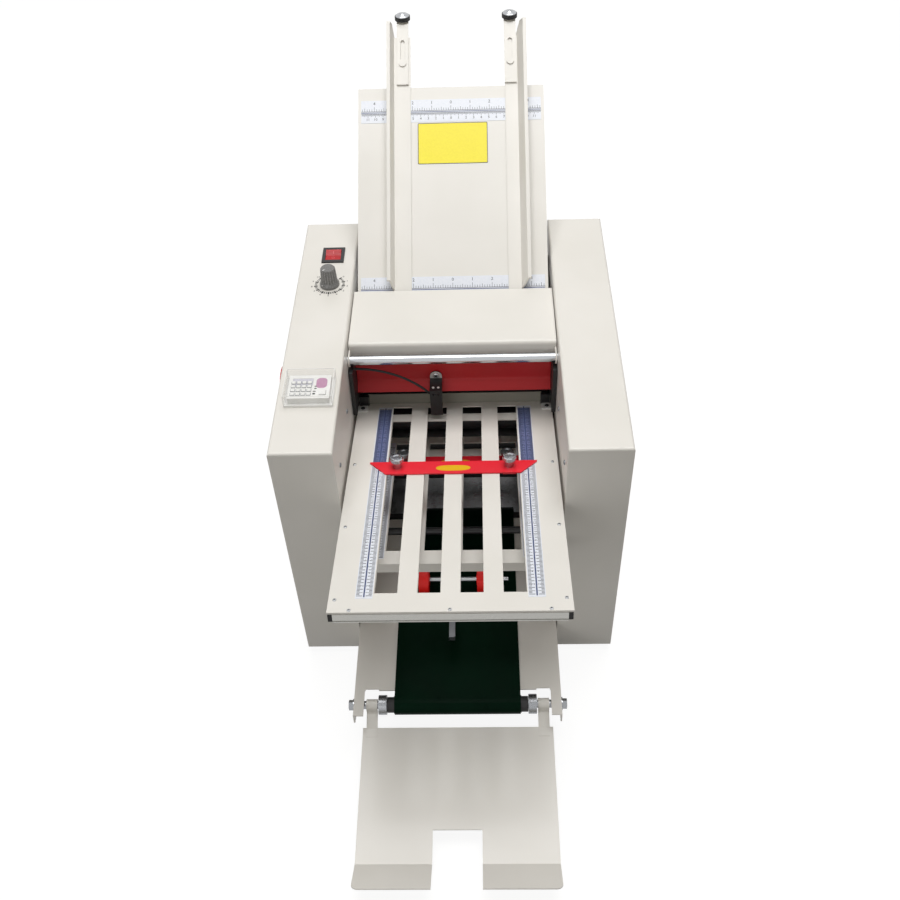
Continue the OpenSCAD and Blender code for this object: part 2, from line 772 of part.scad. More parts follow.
module top_cover() {
    t = 1.5;
    r = 5;
    x = cover_half;
    color(paint) at_origin() {
        yz(-x, x) polygon(sheet(concat([[cover_y, cover_z - cover_flange]],
            arc([cover_y + r, cover_z - r], r, 180, 90, 5),
            [[cover_y + cover_d, cover_z]]), -t));
        both_sides() {
            yz(x - t, x) polygon([[cover_y + 1, cover_z - 8], [cover_y + cover_d, cover_z - 8],
                [cover_y + cover_d, cover_z - eps], [cover_y + r, cover_z - eps],
                [cover_y + 1, cover_z - r]]);
            // ear that turns on the chrome rod
            difference() {
                yz(x - 1.8, x) {
                    translate([rod_y, rod_z]) circle(r = rod_d / 2 + 2);
                    translate([rod_y, rod_z]) square([cover_y - rod_y + 1, rod_d / 2 + 2]);
                }
                bar_x([rod_y, rod_z], rod_d / 2 + run, x - 3, x + 1);
            }
        }
    }
}

module red_guard() {
    color("#9C1B22") at_origin() yz(-frame_in + 0.4, frame_in - 0.4)
        polygon(sheet(concat([[guard_y, frame_top - 1]],
            arc([guard_y - 5, axis_1[1] + 34.5], 5, 0, -48, 5),
            [[guard_y - 11.8, axis_1[1] + 21.7]]), 1.5));
}

// ---- Front fold plates ----

module on_upper() {
    translate([0, upper_y, upper_z]) rotate([-upper_a, 0, 0]) children();
}

module on_lower() {
    translate([0, lower_y, lower_z]) rotate([-lower_a, 0, 0]) children();
}

module plate_slots(span, drop) {
    for (x = slot_x) translate([x - slot_w / 2, span[0], -drop - plate_t - 1])
        cube([slot_w, span[1] - span[0], plate_t + 2]);
}

// Top sheet of a fold plate with folded side flanges, narrowed behind y = neck
module plate_top(half, len, span, flange) {
    difference() {
        translate([-half, 0, -flange]) cube([2 * half, len, flange]);
        translate([-half + plate_t, plate_t, -flange - 1])
            cube([2 * (half - plate_t), len, flange + 1 - plate_t]);
        plate_slots(span, 0);
    }
}

// Bottom sheet of a fold plate, between the flanges
module plate_base(half, len, span) {
    difference() {
        translate([-half, 2, -base_drop - plate_t]) cube([2 * half, len - 2, plate_t]);
        plate_slots(span, base_drop);
    }
}

module upper_fold_plate() {
    color(paint) at_origin() on_upper()
        plate_top(plate_half, upper_len, upper_slots, plate_flange);
}

module upper_plate_base() {
    half = plate_half - plate_t;
    color(zinc) at_origin() on_upper() {
        plate_base(half - 0.1, upper_len - base_cut,
            [upper_slots[0], upper_len - base_cut - 15]);
        // bright end channel under the front edge
        difference() {
            translate([-half + 9, plate_t + 0.1, -plate_flange - 1])
                cube([2 * half - 18, 12, plate_flange - plate_t]);
            translate([-half + 8, plate_t + 1.6, -plate_flange - 2])
                cube([2 * half - 16, 9, plate_flange - plate_t - 1]);
        }
    }
}

module lower_fold_plate() {
    color(paint) at_origin() on_lower() {
        neck = (axis_5[0] - 30 - lower_y) / cos(lower_a);
        intersection() {
            union() {
                plate_top(plate_half, lower_len, lower_slots, plate_flange);
                plate_base(plate_half - plate_t + eps, lower_len - base_cut,
                    [lower_slots[0], lower_len - base_cut - 15]);
            }
            union() {
                translate([-half_gap, -1, -30]) cube([gap_w, neck + 1, 60]);
                translate([-frame_in + 0.6, neck - eps, -30]) cube([2 * frame_in - 1.2, lower_len, 60]);
            }
        }
    }
}

module on_rear(nip) {
    translate([0, nip[0], nip[1]]) rotate([-rear_nip_a, 0, 0])
        translate([0, rear_start, base_drop / 2]) children();
}

module rear_fold_plates() {
    color(paint) at_origin() for (nip = [nip_2, nip_4]) on_rear(nip) {
        half = rear_half;
        difference() {
            plate_top(half, rear_len, rear_slots, base_drop + plate_t);
            translate([-half + plate_t, -1, -base_drop - plate_t - 1])
                cube([2 * (half - plate_t), 4, base_drop + 1]);
        }
        plate_base(half - plate_t + eps, rear_len, rear_slots);
        translate([-half, rear_len - plate_t, -base_drop - plate_t])
            cube([2 * half, plate_t, base_drop + plate_t]);
    }
}

module plate_rulers() {
    color("#F4F6FA") at_origin() {
        both_sides() {
            on_upper() translate([ruler_in, 20, 0]) cube([ruler_w, upper_len - 34, 0.3]);
            on_lower() translate([ruler_in, 10, 0]) cube([ruler_w, lower_len - 24, 0.3]);
        }
        on_feed() {
            translate([-feed_half + 4, -48.5, 0]) cube([2 * feed_half - 8, 31.5, 0.3]);
            translate([-feed_half + 4, -feed_len + 1, 0]) cube([2 * feed_half - 8, 20, 0.3]);
        }
    }
}

// ---- Stop bars ----

// A stop bar lies across a plate, tapers to its front edge and has fences down two slots
module stop_bar(y, half_rear, half_front, depth) {
    lift = 0.6;
    difference() {
        translate([0, y, lift]) linear_extrude(1.5)
            polygon([[-half_front, 0], [half_front, 0], [half_rear, depth - 1.5],
                [half_rear, depth], [-half_rear, depth], [-half_rear, depth - 1.5]]);
        for (sx = [-1, 1]) translate([sx * slot_x[3], y + depth / 2 + 2, 0])
            cylinder(r = 3 + run, h = 4);
    }
    for (i = [1, 2]) translate([slot_x[i] - slot_w / 2 + 1, y + depth - 1.5, -base_drop - 1])
        cube([slot_w - 2, 1.5, base_drop + 1 + lift + 1]);
    // clamp shoe that the thumbscrews draw up under the top sheet
    difference() {
        for (sx = [-1, 1]) translate([sx * slot_x[3] - 8, y + depth / 2 - 6, -plate_t - 3.6])
            cube([16, 16, 3]);
        for (sx = [-1, 1]) translate([sx * slot_x[3], y + depth / 2 + 2, -10])
            cylinder(r = 3 + run, h = 12);
    }
    for (sx = [-1, 1]) translate([sx * slot_x[3] - 8, y + depth - 4, -plate_t - 3.6])
        cube([16, 2.5, plate_t + 3.6 + lift + eps]);
}

stop_depth = 24;

module upper_stop_bar() {
    color(stop_red) at_origin() on_upper() stop_bar(upper_stop, 100, 80, stop_depth);
}

module lower_stop_bar() {
    color(stop_red) at_origin() on_lower() {
        stop_bar(lower_stop, 100, 80, stop_depth);
        for (sx = [-1, 1]) translate([sx * slot_x[3], lower_stop + stop_depth / 2 + 2, 0])
            stop_screw();
    }
}

module rear_stop(nip) {
    on_rear(nip) {
        stop_bar(120, 100, 80, stop_depth);
        for (sx = [-1, 1]) translate([sx * slot_x[3], 120 + stop_depth / 2 + 2, 0])
            stop_screw();
    }
}

module rear_upper_stop() { color(stop_red) at_origin() rear_stop(nip_2); }
module rear_lower_stop() { color(stop_red) at_origin() rear_stop(nip_4); }

// Thumbscrew: knurled cup-shaped head on a shank that passes the bar and the shoe
module stop_screw() {
    z0 = 0.6 + 1.5 + 0.2;
    difference() {
        translate([0, 0, z0]) rotate_extrude() polygon([[0, 0], [5, 0], [5, 3],
            [thumb_d / 2 - 1, 8], [thumb_d / 2, 9], [thumb_d / 2, 13], [thumb_d / 2 - 1, 14],
            [thumb_d / 2 - 3, 14], [thumb_d / 2 - 4, 13], [0, 13]]);
        for (i = [0:17]) rotate(i * 20) translate([thumb_d / 2 + 0.5, 0, z0 + 8])
            cylinder(r = 0.9, h = 7, $fn = 16);
    }
    translate([0, 0, -plate_t - 3.4]) cylinder(r = 3, h = plate_t + 3.4 + z0 + eps);
}

module upper_screw(sx) {
    color(zinc) at_origin() on_upper()
        translate([sx * slot_x[3], upper_stop + stop_depth / 2 + 2, 0]) stop_screw();
}

module upper_stop_screw_left() { upper_screw(-1); }
module upper_stop_screw_right() { upper_screw(1); }

// ---- Mouth and sensor ----

module paper_mouth() {
    y0 = upper_len - 4;
    color("#6F6E68") at_origin() on_upper() {
        translate([-half_gap + 16, y0, 0.1]) cube([gap_w - 32, 1.5, 14.5]);
        both_sides() translate([half_gap - 17, y0 - 5, 0.1]) cube([12, 6.5, 13.5]);
    }
}

sensor_x = slot_x[1];

module photo_sensor() {
    w = 15;
    base = axis_1[1] + 35;
    top = axis_1[1] + 46;
    y = guard_y - touch;
    color(zinc) at_origin() translate([sensor_x, 0, 0]) {
        difference() {
            yz_face(y, y - 1.5) intersection() {
                translate([-w / 2, base]) square([w, w]);
                union() {
                    translate([-w / 2, base]) square([w, top - base - w / 2]);
                    translate([0, top - w / 2]) circle(d = w);
                }
            }
            translate([0, y + 1, top - w / 2]) rotate([90, 0, 0]) cylinder(r = 2.2, h = 4);
        }
        translate([-w / 2, y - 26, base - 1.5]) cube([w, 26, 1.5 + eps]);
    }
    color(dark) at_origin() translate([sensor_x, 0, 0]) difference() {
        translate([-w / 2, y - 26, base - 41]) cube([w, 12, 39.5 + eps]);
        for (x = [-3, 3]) translate([x, y - 27, base - 6]) rotate([-90, 0, 0])
            cylinder(r = 1.6, h = 3);
    }
}

// Extrudes an [X, Z] outline from y0 forwards to y1 (y1 < y0)
module yz_face(y0, y1) {
    translate([0, y0, 0]) rotate([90, 0, 0]) linear_extrude(y0 - y1) children();
}

cable_r = 1.5;
cable_rise = 43;

// One easy bend from the sensor's side up to the left frame, where it runs level
module sensor_cable() {
    x0 = sensor_x - 7.5 - touch;
    x1 = touch - frame_in;
    z1 = axis_1[1] + 69;
    r = ((x0 - x1) ^ 2 + cable_rise ^ 2) / (2 * cable_rise);
    a = asin((x0 - x1) / r);
    color(dark) at_origin() difference() {
        translate([x1, guard_y - 20.3, z1 - r]) rotate([90, 0, 0]) rotate([0, 0, 86 - a])
            rotate_extrude(angle = a + 4) translate([r, 0]) circle(r = cable_r);
        translate([x0, guard_y - 30, z1 - r]) cube([r, 20, r]);
    }
}

// ---- Conveyor ----

module conveyor_frame() {
    x = conv_half;
    color(paint) at_origin() {
        difference() {
            translate([0, 0, deck_z - deck_t]) linear_extrude(deck_t) difference() {
                translate([-x, ear_y]) square([2 * x, rear_roll_y - 14 - ear_y]);
                translate([-ear_in, ear_y - 1]) square([2 * ear_in, deck_front - ear_y + 1]);
                for (sx = [-1, 1]) translate([sx * hook_x, deck_front])
                    square([hook_w + 3, 4], center = true);
            }
            for (sx = [-1, 1]) translate([sx * (ear_in - 2), ear_y - 4, deck_z - 5])
                rotate([0, 0, sx * 45]) cube([9, 9, 12], center = true);
        }
        both_sides() difference() {
            yz(x - 1.7, x) polygon([[ear_y, deck_z], [ear_y, deck_z - 16],
                [front_roll_y + 26, conv_z - 24], [20, conv_z - 24], [24, pan_top],
                [conv_rear, pan_top], [conv_rear, deck_z]]);
            bar_x([front_roll_y, conv_z], conv_shaft_r + seat, x - 3, x + 1);
            bar_x([rear_roll_y, conv_z], conv_shaft_r + run, x - 3, x + 1);
        }
    }
}

module conveyor_belt() {
    color("#0B2A1E") at_origin() yz(-belt_w / 2, belt_w / 2)
        belt_outline([front_roll_y, conv_z], conv_roll_r + touch, [rear_roll_y, conv_z],
            conv_roll_r + touch, belt_t);
}

module conveyor_shaft() {
    p = [front_roll_y, conv_z];
    color(zinc) at_origin() {
        bar_x(p, conv_shaft_r, -conv_half - 4, conv_half + 4);
        both_sides() {
            difference() {
                bar_x(p, 12, 86.6, 96.6);
                for (i = [0:7]) bar_x(p + 8.6 * [cos(i * 45), sin(i * 45)], 1.1, 95.6, 97);
            }
            bar_x(p, 8, conv_half + 0.1, conv_half + 1.5);
            translate([conv_half + 1.5, p[0], p[1]]) rotate([0, 90, 0])
                cylinder(r = 6.3, h = 5.5, $fn = 6);
        }
    }
}

module conveyor_front_roller() {
    p = [front_roll_y, conv_z];
    color(dark) at_origin() difference() {
        union() {
            bar_x(p, conv_roll_r, -belt_w / 2 - 1, belt_w / 2 + 1);
            bar_x(p, conv_roll_r - 1, -86, 86);
        }
        bar_x(p, conv_shaft_r + run, -90, 90);
    }
}

module conveyor_rear_roller() {
    p = [rear_roll_y, conv_z];
    color(dark) at_origin() bar_x(p, conv_roll_r, -belt_w / 2 - 1, belt_w / 2 + 1);
    color(zinc) at_origin() {
        bar_x(p, conv_shaft_r, -conv_half - 0.5, conv_belt_x + pulley_w + 2);
        pulley(p, conv_pulley_r, conv_belt_x);
    }
}

module pusher_frame() {
    b = 14;
    color(zinc) at_origin() {
        difference() {
            translate([push_x - b / 2 - 2, push_y - b / 2, push_z - 7])
                cube([b + 4, b, bar_z + bar_w / 2 + 4 - push_z + 7]);
            translate([push_x - bar_w / 2 - run, push_y - b, bar_z - bar_w / 2 - run])
                cube([bar_w + 2 * run, 2 * b, bar_w + 2 * run]);
        }
        translate([push_x, push_y, bar_z + bar_w / 2 + 4 - eps]) {
            cylinder(r = 3, h = 5);
            translate([0, 0, 4]) cylinder(r = 7, h = 5);
        }
        bar_x([push_y, push_z], 3, push_x - 66, push_x + 72);
        for (sx = [-1, 1]) bar_x([push_y, push_z], 5.5, push_x + sx * (push_track + 11) - 3,
            push_x + sx * (push_track + 11) + 3);
    }
}

module pusher_wheels() {
    p = [push_y, push_z];
    r = push_wheel_d / 2;
    color("#D01010") at_origin() for (sx = [-1, 1]) {
        x0 = push_x + sx * push_track - 6.5;
        difference() {
            union() {
                bar_x(p, r, x0, x0 + 13);
                bar_x(p, 7, x0 - 1, x0 + 14);
            }
            for (dx = [-1, 11]) translate([x0 + dx, p[0], p[1]]) rotate([0, 90, 0])
                difference() {
                    cylinder(r = r - 4, h = 3);
                    translate([0, 0, -1]) cylinder(r = 8, h = 6);
                }
            bar_x(p, 3 + run, x0 - 2, x0 + 15);
        }
    }
}

// ---- Tray ----

module receiving_tray() {
    t = 1.5;
    r_in = conv_shaft_r + run;
    rear = [tray_rear_y, tray_rear_z];
    bend = [tray_bend_y, tray_bend_z];
    lip = bend + tray_lip * [-cos(tray_lip_a), sin(tray_lip_a)];
    fall = unit(rear - bend);
    pin = [front_roll_y, conv_z];
    hook_r = r_in + 2;
    half = tray_w / 2;
    color(paint) at_origin() {
        difference() {
            yz(-half, half) polygon(sheet([lip, bend, rear], t));
            translate([-notch_w / 2, lip[0] - 5, 0])
                cube([notch_w, bend[0] + 39 - lip[0] + 5, 100]);
            // rounded outer corners of the lip
            for (sx = [-1, 1]) translate([0, bend[0], bend[1]]) rotate([-tray_lip_a, 0, 0])
                translate([sx * half, -tray_lip, -5]) difference() {
                    translate([-8, -1, 0]) cube([16, 9, 20]);
                    translate([-sx * 8, 8, -1]) cylinder(r = 8, h = 30);
                }
        }
        // legs folded down from the side edges, ending on the floor
        both_sides() yz(half - t, half) polygon([bend + [6, 1], [bend[0] + 2, 0],
            [bend[0] + 24, 0], bend + 34 * fall + [0, 1]]);
        // hooks over the conveyor's front shaft
        both_sides() difference() {
            yz(hook_x - hook_w / 2, hook_x + hook_w / 2)
                polygon(sheet(concat([rear - 12 * fall, rear + [-1, 0]],
                    [pin + r_in * [-1, -1.5]], arc(pin, r_in, 180, 0, 12),
                    [pin + r_in * [1, -0.5]]), 2));
            bar_x(pin, r_in, hook_x - 20, hook_x + 20);
        }
    }
}

// ---- Side guides ----

guide_t = 1.5;
guide_end = feed_len - 1;
left_lean = 5;
right_lean = 8.5;
stud_y = 33;
stud_r = 2.3;

// Guide with its wall to the outside; side is -1 on the left and 1 on the right
module guide(side, x, web, lean_out) {
    on_feed() translate([side * x, 0, touch + guide_lift]) mirror([side < 0 ? 1 : 0, 0, 0]) {
        translate([-web, -guide_end, 0]) cube([web, guide_end + guide_over, guide_t]);
        // stud whose head holds the extension down
        translate([-web / 2 - 1, stud_y, 0]) {
            cylinder(r = stud_r, h = guide_t + ext_t + 3 * touch, $fn = 24);
            translate([0, 0, guide_t + ext_t + 2 * touch]) cylinder(r = 5, h = 1.4, $fn = 24);
        }
        // leaning wall, cut to a point at its upper end
        difference() {
            translate([0, -guide_end, 0]) rotate([-90, 0, 0]) mirror([0, 1, 0])
                linear_extrude(guide_end + guide_over + 16)
                    polygon([[-guide_t, 0], [0.3, 0], [lean_out, guide_h], [lean_out + 3, guide_h],
                        [lean_out + 3, guide_h + guide_t], [lean_out - guide_t, guide_h + guide_t]]);
            translate([-10, guide_over, -1]) rotate([30, 0, 0]) translate([0, 0, -40])
                cube([30, 60, 40]);
            translate([-10, -guide_end, 0]) rotate([-feed_a, 0, 0]) translate([0, -60, -30])
                cube([30, 60, 90]);
        }
        // hook round the table's top edge
        translate([-web + 3, 1.2, -14 - touch]) cube([web - 6, 2, 14 + touch + eps]);
        translate([-web + 3, -14, -15.5 - touch]) cube([web - 6, 17.2, 2]);
    }
}

guide_lift = 0.3;
ext_t = 2;

module left_guide() { color(paint) at_origin() guide(-1, guide_left, left_web, left_lean); }
module right_guide() { color(paint) at_origin() guide(1, guide_right, right_web, right_lean); }

// Slotted strip that lengthens a guide, bent to a level tab with a round pull knob
module extension(side, x, web) {
    w = 15.5;
    t = ext_t;
    bend = [ext_tip, 0];
    level = [cos(feed_a), -sin(feed_a)];
    up = [sin(feed_a), cos(feed_a)];
    fold = t * tan(feed_a / 2);
    on_feed() translate([side * (x - web / 2 - 1), 0, 2 * touch + guide_lift + guide_t]) {
        difference() {
            yz(-w / 2, w / 2) polygon([[3, 0], bend, bend + tab_l * level,
                bend + tab_l * level + t * up, bend + [fold, t], [3, t]]);
            translate([0, 0, -1]) linear_extrude(t + 2) round_slot(0, stud_y - 3, 66, 5.5);
        }
        translate([0, ext_tip, 0]) rotate([-feed_a, 0, 0])
            translate([0, tab_l / 2 + 0.5, t - 0.5]) rotate_extrude()
                polygon([[0, 0], [5, 0], [5, 2], [8.5, 2], [9.5, 3], [9.5, 7.5], [8.5, 9],
                    [6, 9.7], [0, 9.7]]);
    }
}

module left_extension() { color(paint) at_origin() extension(-1, guide_left, left_web); }
module right_extension() { color(paint) at_origin() extension(1, guide_right, right_web); }

// ---- Controls ----

module switch_bezel() {
    color(dark) at_origin() translate([switch_x, switch_y, housing_top]) difference() {
        union() {
            translate([-bezel[0] / 2, -bezel[1] / 2, 0]) cube(bezel);
            translate([-rocker_size[0] / 2 - 1.4, -rocker_size[1] / 2 - 1.4, -16])
                cube([rocker_size[0] + 2.8, rocker_size[1] + 2.8, 16 + eps]);
        }
        translate([-rocker_size[0] / 2 - touch, -rocker_size[1] / 2 - touch, -14])
            cube([rocker_size[0] + 2 * touch, rocker_size[1] + 2 * touch, 30]);
    }
}

rocker_tilt = 8;
rocker_z = -5;

module rocker() {
    l = rocker_size[1] - 2.4;
    color("#C8102E") at_origin() translate([switch_x, switch_y, housing_top + rocker_z])
        rotate([rocker_tilt, 0, 0]) {
            yz(-rocker_size[0] / 2, rocker_size[0] / 2)
                polygon([[-l / 2, 0], [l / 2, 0], [l / 2, 7.6], [0, 6.2], [-l / 2, 7.6]]);
            bar_x([0, 0], 2, -rocker_size[0] / 2, rocker_size[0] / 2);
        }
}

module speed_knob() {
    r = knob_d / 2;
    color("#6E7276") at_origin() translate([knob_x, knob_y, housing_top + touch]) {
        difference() {
            rotate_extrude() polygon([[0, 0], [r, 0], [r, 3], [r - 2.2, 7], [r - 3.3, knob_h - 1],
                [r - 4.2, knob_h], [0, knob_h]]);
            for (i = [0:17]) rotate(i * 20) translate([r - 1.9, 0, 7.5])
                rotate([0, -3.2, 0]) cylinder(r = 0.8, h = knob_h, $fn = 16);
        }
        translate([0, 0, -12]) cylinder(r = 3, h = 12 + eps);
    }
}

module counter_body() {
    w = counter_w - 8;
    d = counter_d - 8;
    color("#F1F1EE") at_origin() translate([counter_x, counter_y + counter_d / 2, housing_top])
        difference() {
            union() {
                translate([-counter_w / 2, -counter_d / 2, 0]) cube([counter_w, counter_d, 2]);
                translate([-w / 2, -d / 2, 2 - eps]) cube([w, d, 8]);
                translate([-5, -8, -14]) cube([10, 16, 14 + eps]);
            }
            // display window and the reset key's well
            translate([-w / 2 + 4, 2, 9]) cube([24, 12, 3]);
            translate([w / 2 - 12, -d / 2 + 5, 4]) cube([8, 8, 8]);
        }
}

module reset_key() {
    w = counter_w - 8;
    d = counter_d - 8;
    color("#C8102E") at_origin() translate([counter_x + w / 2 - 12 + touch,
        counter_y + counter_d / 2 - d / 2 + 5 + touch, housing_top + 6.5])
            cube([8 - 2 * touch, 8 - 2 * touch, 5]);
}

module counter_lid() {
    t = 1.5;
    z0 = 2 + touch;
    color([0.9, 0.95, 1, 0.35]) at_origin()
        translate([counter_x - counter_w / 2, counter_y, housing_top]) {
            difference() {
                translate([0, 0, z0]) cube([counter_w, counter_d, counter_h - z0]);
                translate([t, t, z0 - 1])
                    cube([counter_w - 2 * t, counter_d - 2 * t, counter_h - z0 + 1 - t]);
            }
            // hinge roll along the rear edge
            translate([6, counter_d + 1.2, z0 + 1.6]) rotate([0, 90, 0])
                cylinder(r = 1.6, h = counter_w - 12);
        }
}

base_pan();
rubber_feet();
left_side_frame();
right_side_frame();
left_housing();
right_housing();
tie_rods();
roller_bearings();
chrome_rod();
top_cover();
red_guard();
feed_table();
feed_chute();
separator_pad();
feed_roller();
idler_gear();
fold_roller_1();
fold_roller_2();
fold_roller_3();
fold_roller_4();
fold_roller_5();
fold_roller_6();
hand_wheel();
motor();
motor_pulley();
drive_belts();
upper_fold_plate();
upper_plate_base();
lower_fold_plate();
rear_fold_plates();
plate_rulers();
upper_stop_bar();
upper_stop_screw_left();
upper_stop_screw_right();
lower_stop_bar();
rear_upper_stop();
rear_lower_stop();
paper_mouth();
photo_sensor();
sensor_cable();
conveyor_frame();
conveyor_belt();
conveyor_shaft();
conveyor_front_roller();
conveyor_rear_roller();
pusher_bar();
pusher_frame();
pusher_wheels();
receiving_tray();
left_guide();
right_guide();
left_extension();
right_extension();
switch_bezel();
rocker();
speed_knob();
counter_body();
counter_lid();
reset_key();
power_inlet();
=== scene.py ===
"""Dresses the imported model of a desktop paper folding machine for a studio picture."""

import logging
import math
from dataclasses import dataclass, field
from enum import Enum
from typing import Callable, Iterable, Sequence

import bmesh
import bpy
from mathutils import Matrix, Vector


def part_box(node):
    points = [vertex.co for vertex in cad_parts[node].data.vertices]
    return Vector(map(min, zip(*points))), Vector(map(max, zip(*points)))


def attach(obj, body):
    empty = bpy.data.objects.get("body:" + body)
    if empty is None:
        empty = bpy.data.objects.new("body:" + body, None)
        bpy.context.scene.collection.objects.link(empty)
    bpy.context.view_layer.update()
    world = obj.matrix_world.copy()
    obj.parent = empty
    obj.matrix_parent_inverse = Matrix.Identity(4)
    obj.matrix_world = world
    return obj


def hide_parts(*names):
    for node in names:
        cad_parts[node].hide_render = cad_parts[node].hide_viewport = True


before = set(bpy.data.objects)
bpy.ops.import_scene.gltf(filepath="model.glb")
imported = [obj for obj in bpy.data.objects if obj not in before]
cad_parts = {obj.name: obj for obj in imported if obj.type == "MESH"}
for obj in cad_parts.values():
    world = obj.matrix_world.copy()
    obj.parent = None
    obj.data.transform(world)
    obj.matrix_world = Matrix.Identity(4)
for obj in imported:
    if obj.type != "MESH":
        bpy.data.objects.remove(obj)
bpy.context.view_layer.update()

LOG = logging.getLogger("folding_machine")
MM = 0.001
HOUSING_LEFT_X = -200.0
# Slopes of the fold plates and of the feed table, in degrees; a climb to the back is positive.
UPPER_TILT = -10.5
LOWER_TILT = -12.5
REAR_TILT = -22.0
FEED_TILT = 36.0
# Place of a rear stop's screws along its plate and above it, in millimetres.
REAR_STOP_S = 156.0
REAR_STOP_LIFT = 5.3
# Depth and height of the faces' own origins, in machine millimetres.
UPPER_ORIGIN = (-171.84, 326.54)
LOWER_ORIGIN = (-51.04, 251.03)
FEED_ORIGIN = (532.5, 527.31)
CORNER_STEPS = 6


# ---------------------------------------------------------------- colours and nodes


def srgb(code: str) -> tuple[float, float, float, float]:
    """Turns an sRGB hex colour to linear light.

    Args:
        code: Colour as "#RRGGBB".

    Returns:
        Linear red, green and blue with full opacity.
    """
    parts = [int(code[i:i + 2], 16) / 255 for i in (1, 3, 5)]
    linear = [c / 12.92 if c <= 0.04045 else ((c + 0.055) / 1.055) ** 2.4 for c in parts]
    return (linear[0], linear[1], linear[2], 1.0)


def add_node(tree: bpy.types.NodeTree, kind: str, inputs: dict | None = None,
             **settings: object) -> bpy.types.Node:
    """Adds a node, sets its properties and fills or links its inputs.

    Args:
        tree: Node tree that takes the node.
        kind: Node type name.
        inputs: Input name or index to a value or to an output socket to link.
        settings: Properties of the node itself.

    Returns:
        The new node.
    """
    node = tree.nodes.new(kind)
    for key, value in settings.items():
        setattr(node, key, value)
    for key, value in (inputs or {}).items():
        socket = node.inputs[key]
        if isinstance(value, bpy.types.NodeSocket):
            tree.links.new(value, socket)
        else:
            socket.default_value = value
    return node


def calc(tree: bpy.types.NodeTree, operation: str, *values: object) -> bpy.types.NodeSocket:
    """Adds a maths node.

    Args:
        tree: Node tree that takes the node.
        operation: Blender's name of the operation.
        values: Numbers or sockets, in order.

    Returns:
        The result's socket.
    """
    return add_node(tree, "ShaderNodeMath", dict(enumerate(values)),
                    operation=operation).outputs[0]


def noise(tree: bpy.types.NodeTree, grain_mm: float, detail: float = 3.0,
          stretch: tuple[float, float, float] = (1.0, 1.0, 1.0)) -> bpy.types.NodeSocket:
    """Adds a noise pattern whose grain has a real size.

    Args:
        tree: Material tree.
        grain_mm: Size of one grain in millimetres.
        detail: Octaves of finer detail.
        stretch: Scale along each axis, for brushed surfaces.

    Returns:
        The noise value's socket.
    """
    coords = add_node(tree, "ShaderNodeTexCoord")
    mapped = add_node(tree, "ShaderNodeMapping", {0: coords.outputs["Object"], "Scale": stretch})
    texture = add_node(tree, "ShaderNodeTexNoise", {
        "Vector": mapped.outputs[0], "Scale": 1.0 / (grain_mm * MM), "Detail": detail})
    return texture.outputs[0]


def remap(tree: bpy.types.NodeTree, value: bpy.types.NodeSocket, low: float, high: float,
          start: float = 0.3, end: float = 0.7) -> bpy.types.NodeSocket:
    """Maps a pattern's usual span to a range of values.

    Args:
        tree: Material tree.
        value: Pattern value.
        low: Result at the start of the span.
        high: Result at the end of the span.
        start: Start of the span.
        end: End of the span.

    Returns:
        The mapped value's socket.
    """
    node = add_node(tree, "ShaderNodeMapRange", {
        "Value": value, "From Min": start, "From Max": end, "To Min": low, "To Max": high})
    return node.outputs[0]


def tint(tree: bpy.types.NodeTree, pattern: bpy.types.NodeSocket, first: str,
         second: str) -> bpy.types.NodeSocket:
    """Mixes two colours by a pattern.

    Args:
        tree: Material tree.
        pattern: Pattern value; where it is high, the second colour shows.
        first: Hex of the first colour.
        second: Hex of the second colour.

    Returns:
        The colour's socket.
    """
    node = add_node(tree, "ShaderNodeMix", {
        "Factor": remap(tree, pattern, 0.0, 1.0), "A": srgb(first), "B": srgb(second)},
        data_type="RGBA")
    return node.outputs["Result"]


def bump(tree: bpy.types.NodeTree, height: bpy.types.NodeSocket, depth_mm: float,
         strength: float = 1.0) -> bpy.types.NodeSocket:
    """Turns a pattern into surface relief.

    Args:
        tree: Material tree.
        height: Pattern value.
        depth_mm: Real depth of the relief.
        strength: How strongly it shows.

    Returns:
        The normal's socket.
    """
    node = add_node(tree, "ShaderNodeBump", {
        "Height": height, "Distance": depth_mm * MM, "Strength": strength})
    return node.outputs[0]


# ---------------------------------------------------------------- finishes


@dataclass(frozen=True)
class Skin:
    """What all finishes share: the real material's name, its colour and one surface."""

    name: str
    shade: str

    def inputs(self, tree: bpy.types.NodeTree) -> dict[str, object]:
        """Returns the inputs of the surface's shader.

        Args:
            tree: Tree of the material under construction; not used here.
        """
        return {"Base Color": srgb(self.shade)}

    def surface(self, tree: bpy.types.NodeTree) -> bpy.types.NodeSocket:
        """Returns the socket of the whole surface.

        Args:
            tree: Tree of the material under construction.
        """
        return add_node(tree, "ShaderNodeBsdfPrincipled", self.inputs(tree)).outputs[0]

    def build(self) -> bpy.types.Material:
        """Returns the finished material."""
        material = bpy.data.materials.new(self.name)
        material.use_nodes = True
        tree = material.node_tree
        tree.nodes.clear()
        add_node(tree, "ShaderNodeOutputMaterial", {0: self.surface(tree)})
        return material


@dataclass(frozen=True)
class Enamel(Skin):
    """Stove enamel on sheet steel, sprayed: a faint orange peel breaks its soft gloss."""

    shade_far: str
    roughness: float = 0.42
    peel_mm: float = 1.6
    peel_depth: float = 0.012
    coat: float = 0.22
    coat_roughness: float = 0.14

    def inputs(self, tree: bpy.types.NodeTree) -> dict[str, object]:
        """Returns the inputs of the surface's shader, see Skin."""
        fine = noise(tree, self.peel_mm, 2.0)
        return {
            "Base Color": tint(tree, noise(tree, 90.0, 2.0), self.shade, self.shade_far),
            "Roughness": remap(tree, fine, self.roughness - 0.05, self.roughness + 0.07),
            "IOR": 1.5, "Coat Weight": self.coat, "Coat Roughness": self.coat_roughness,
            "Normal": bump(tree, fine, self.peel_depth)}


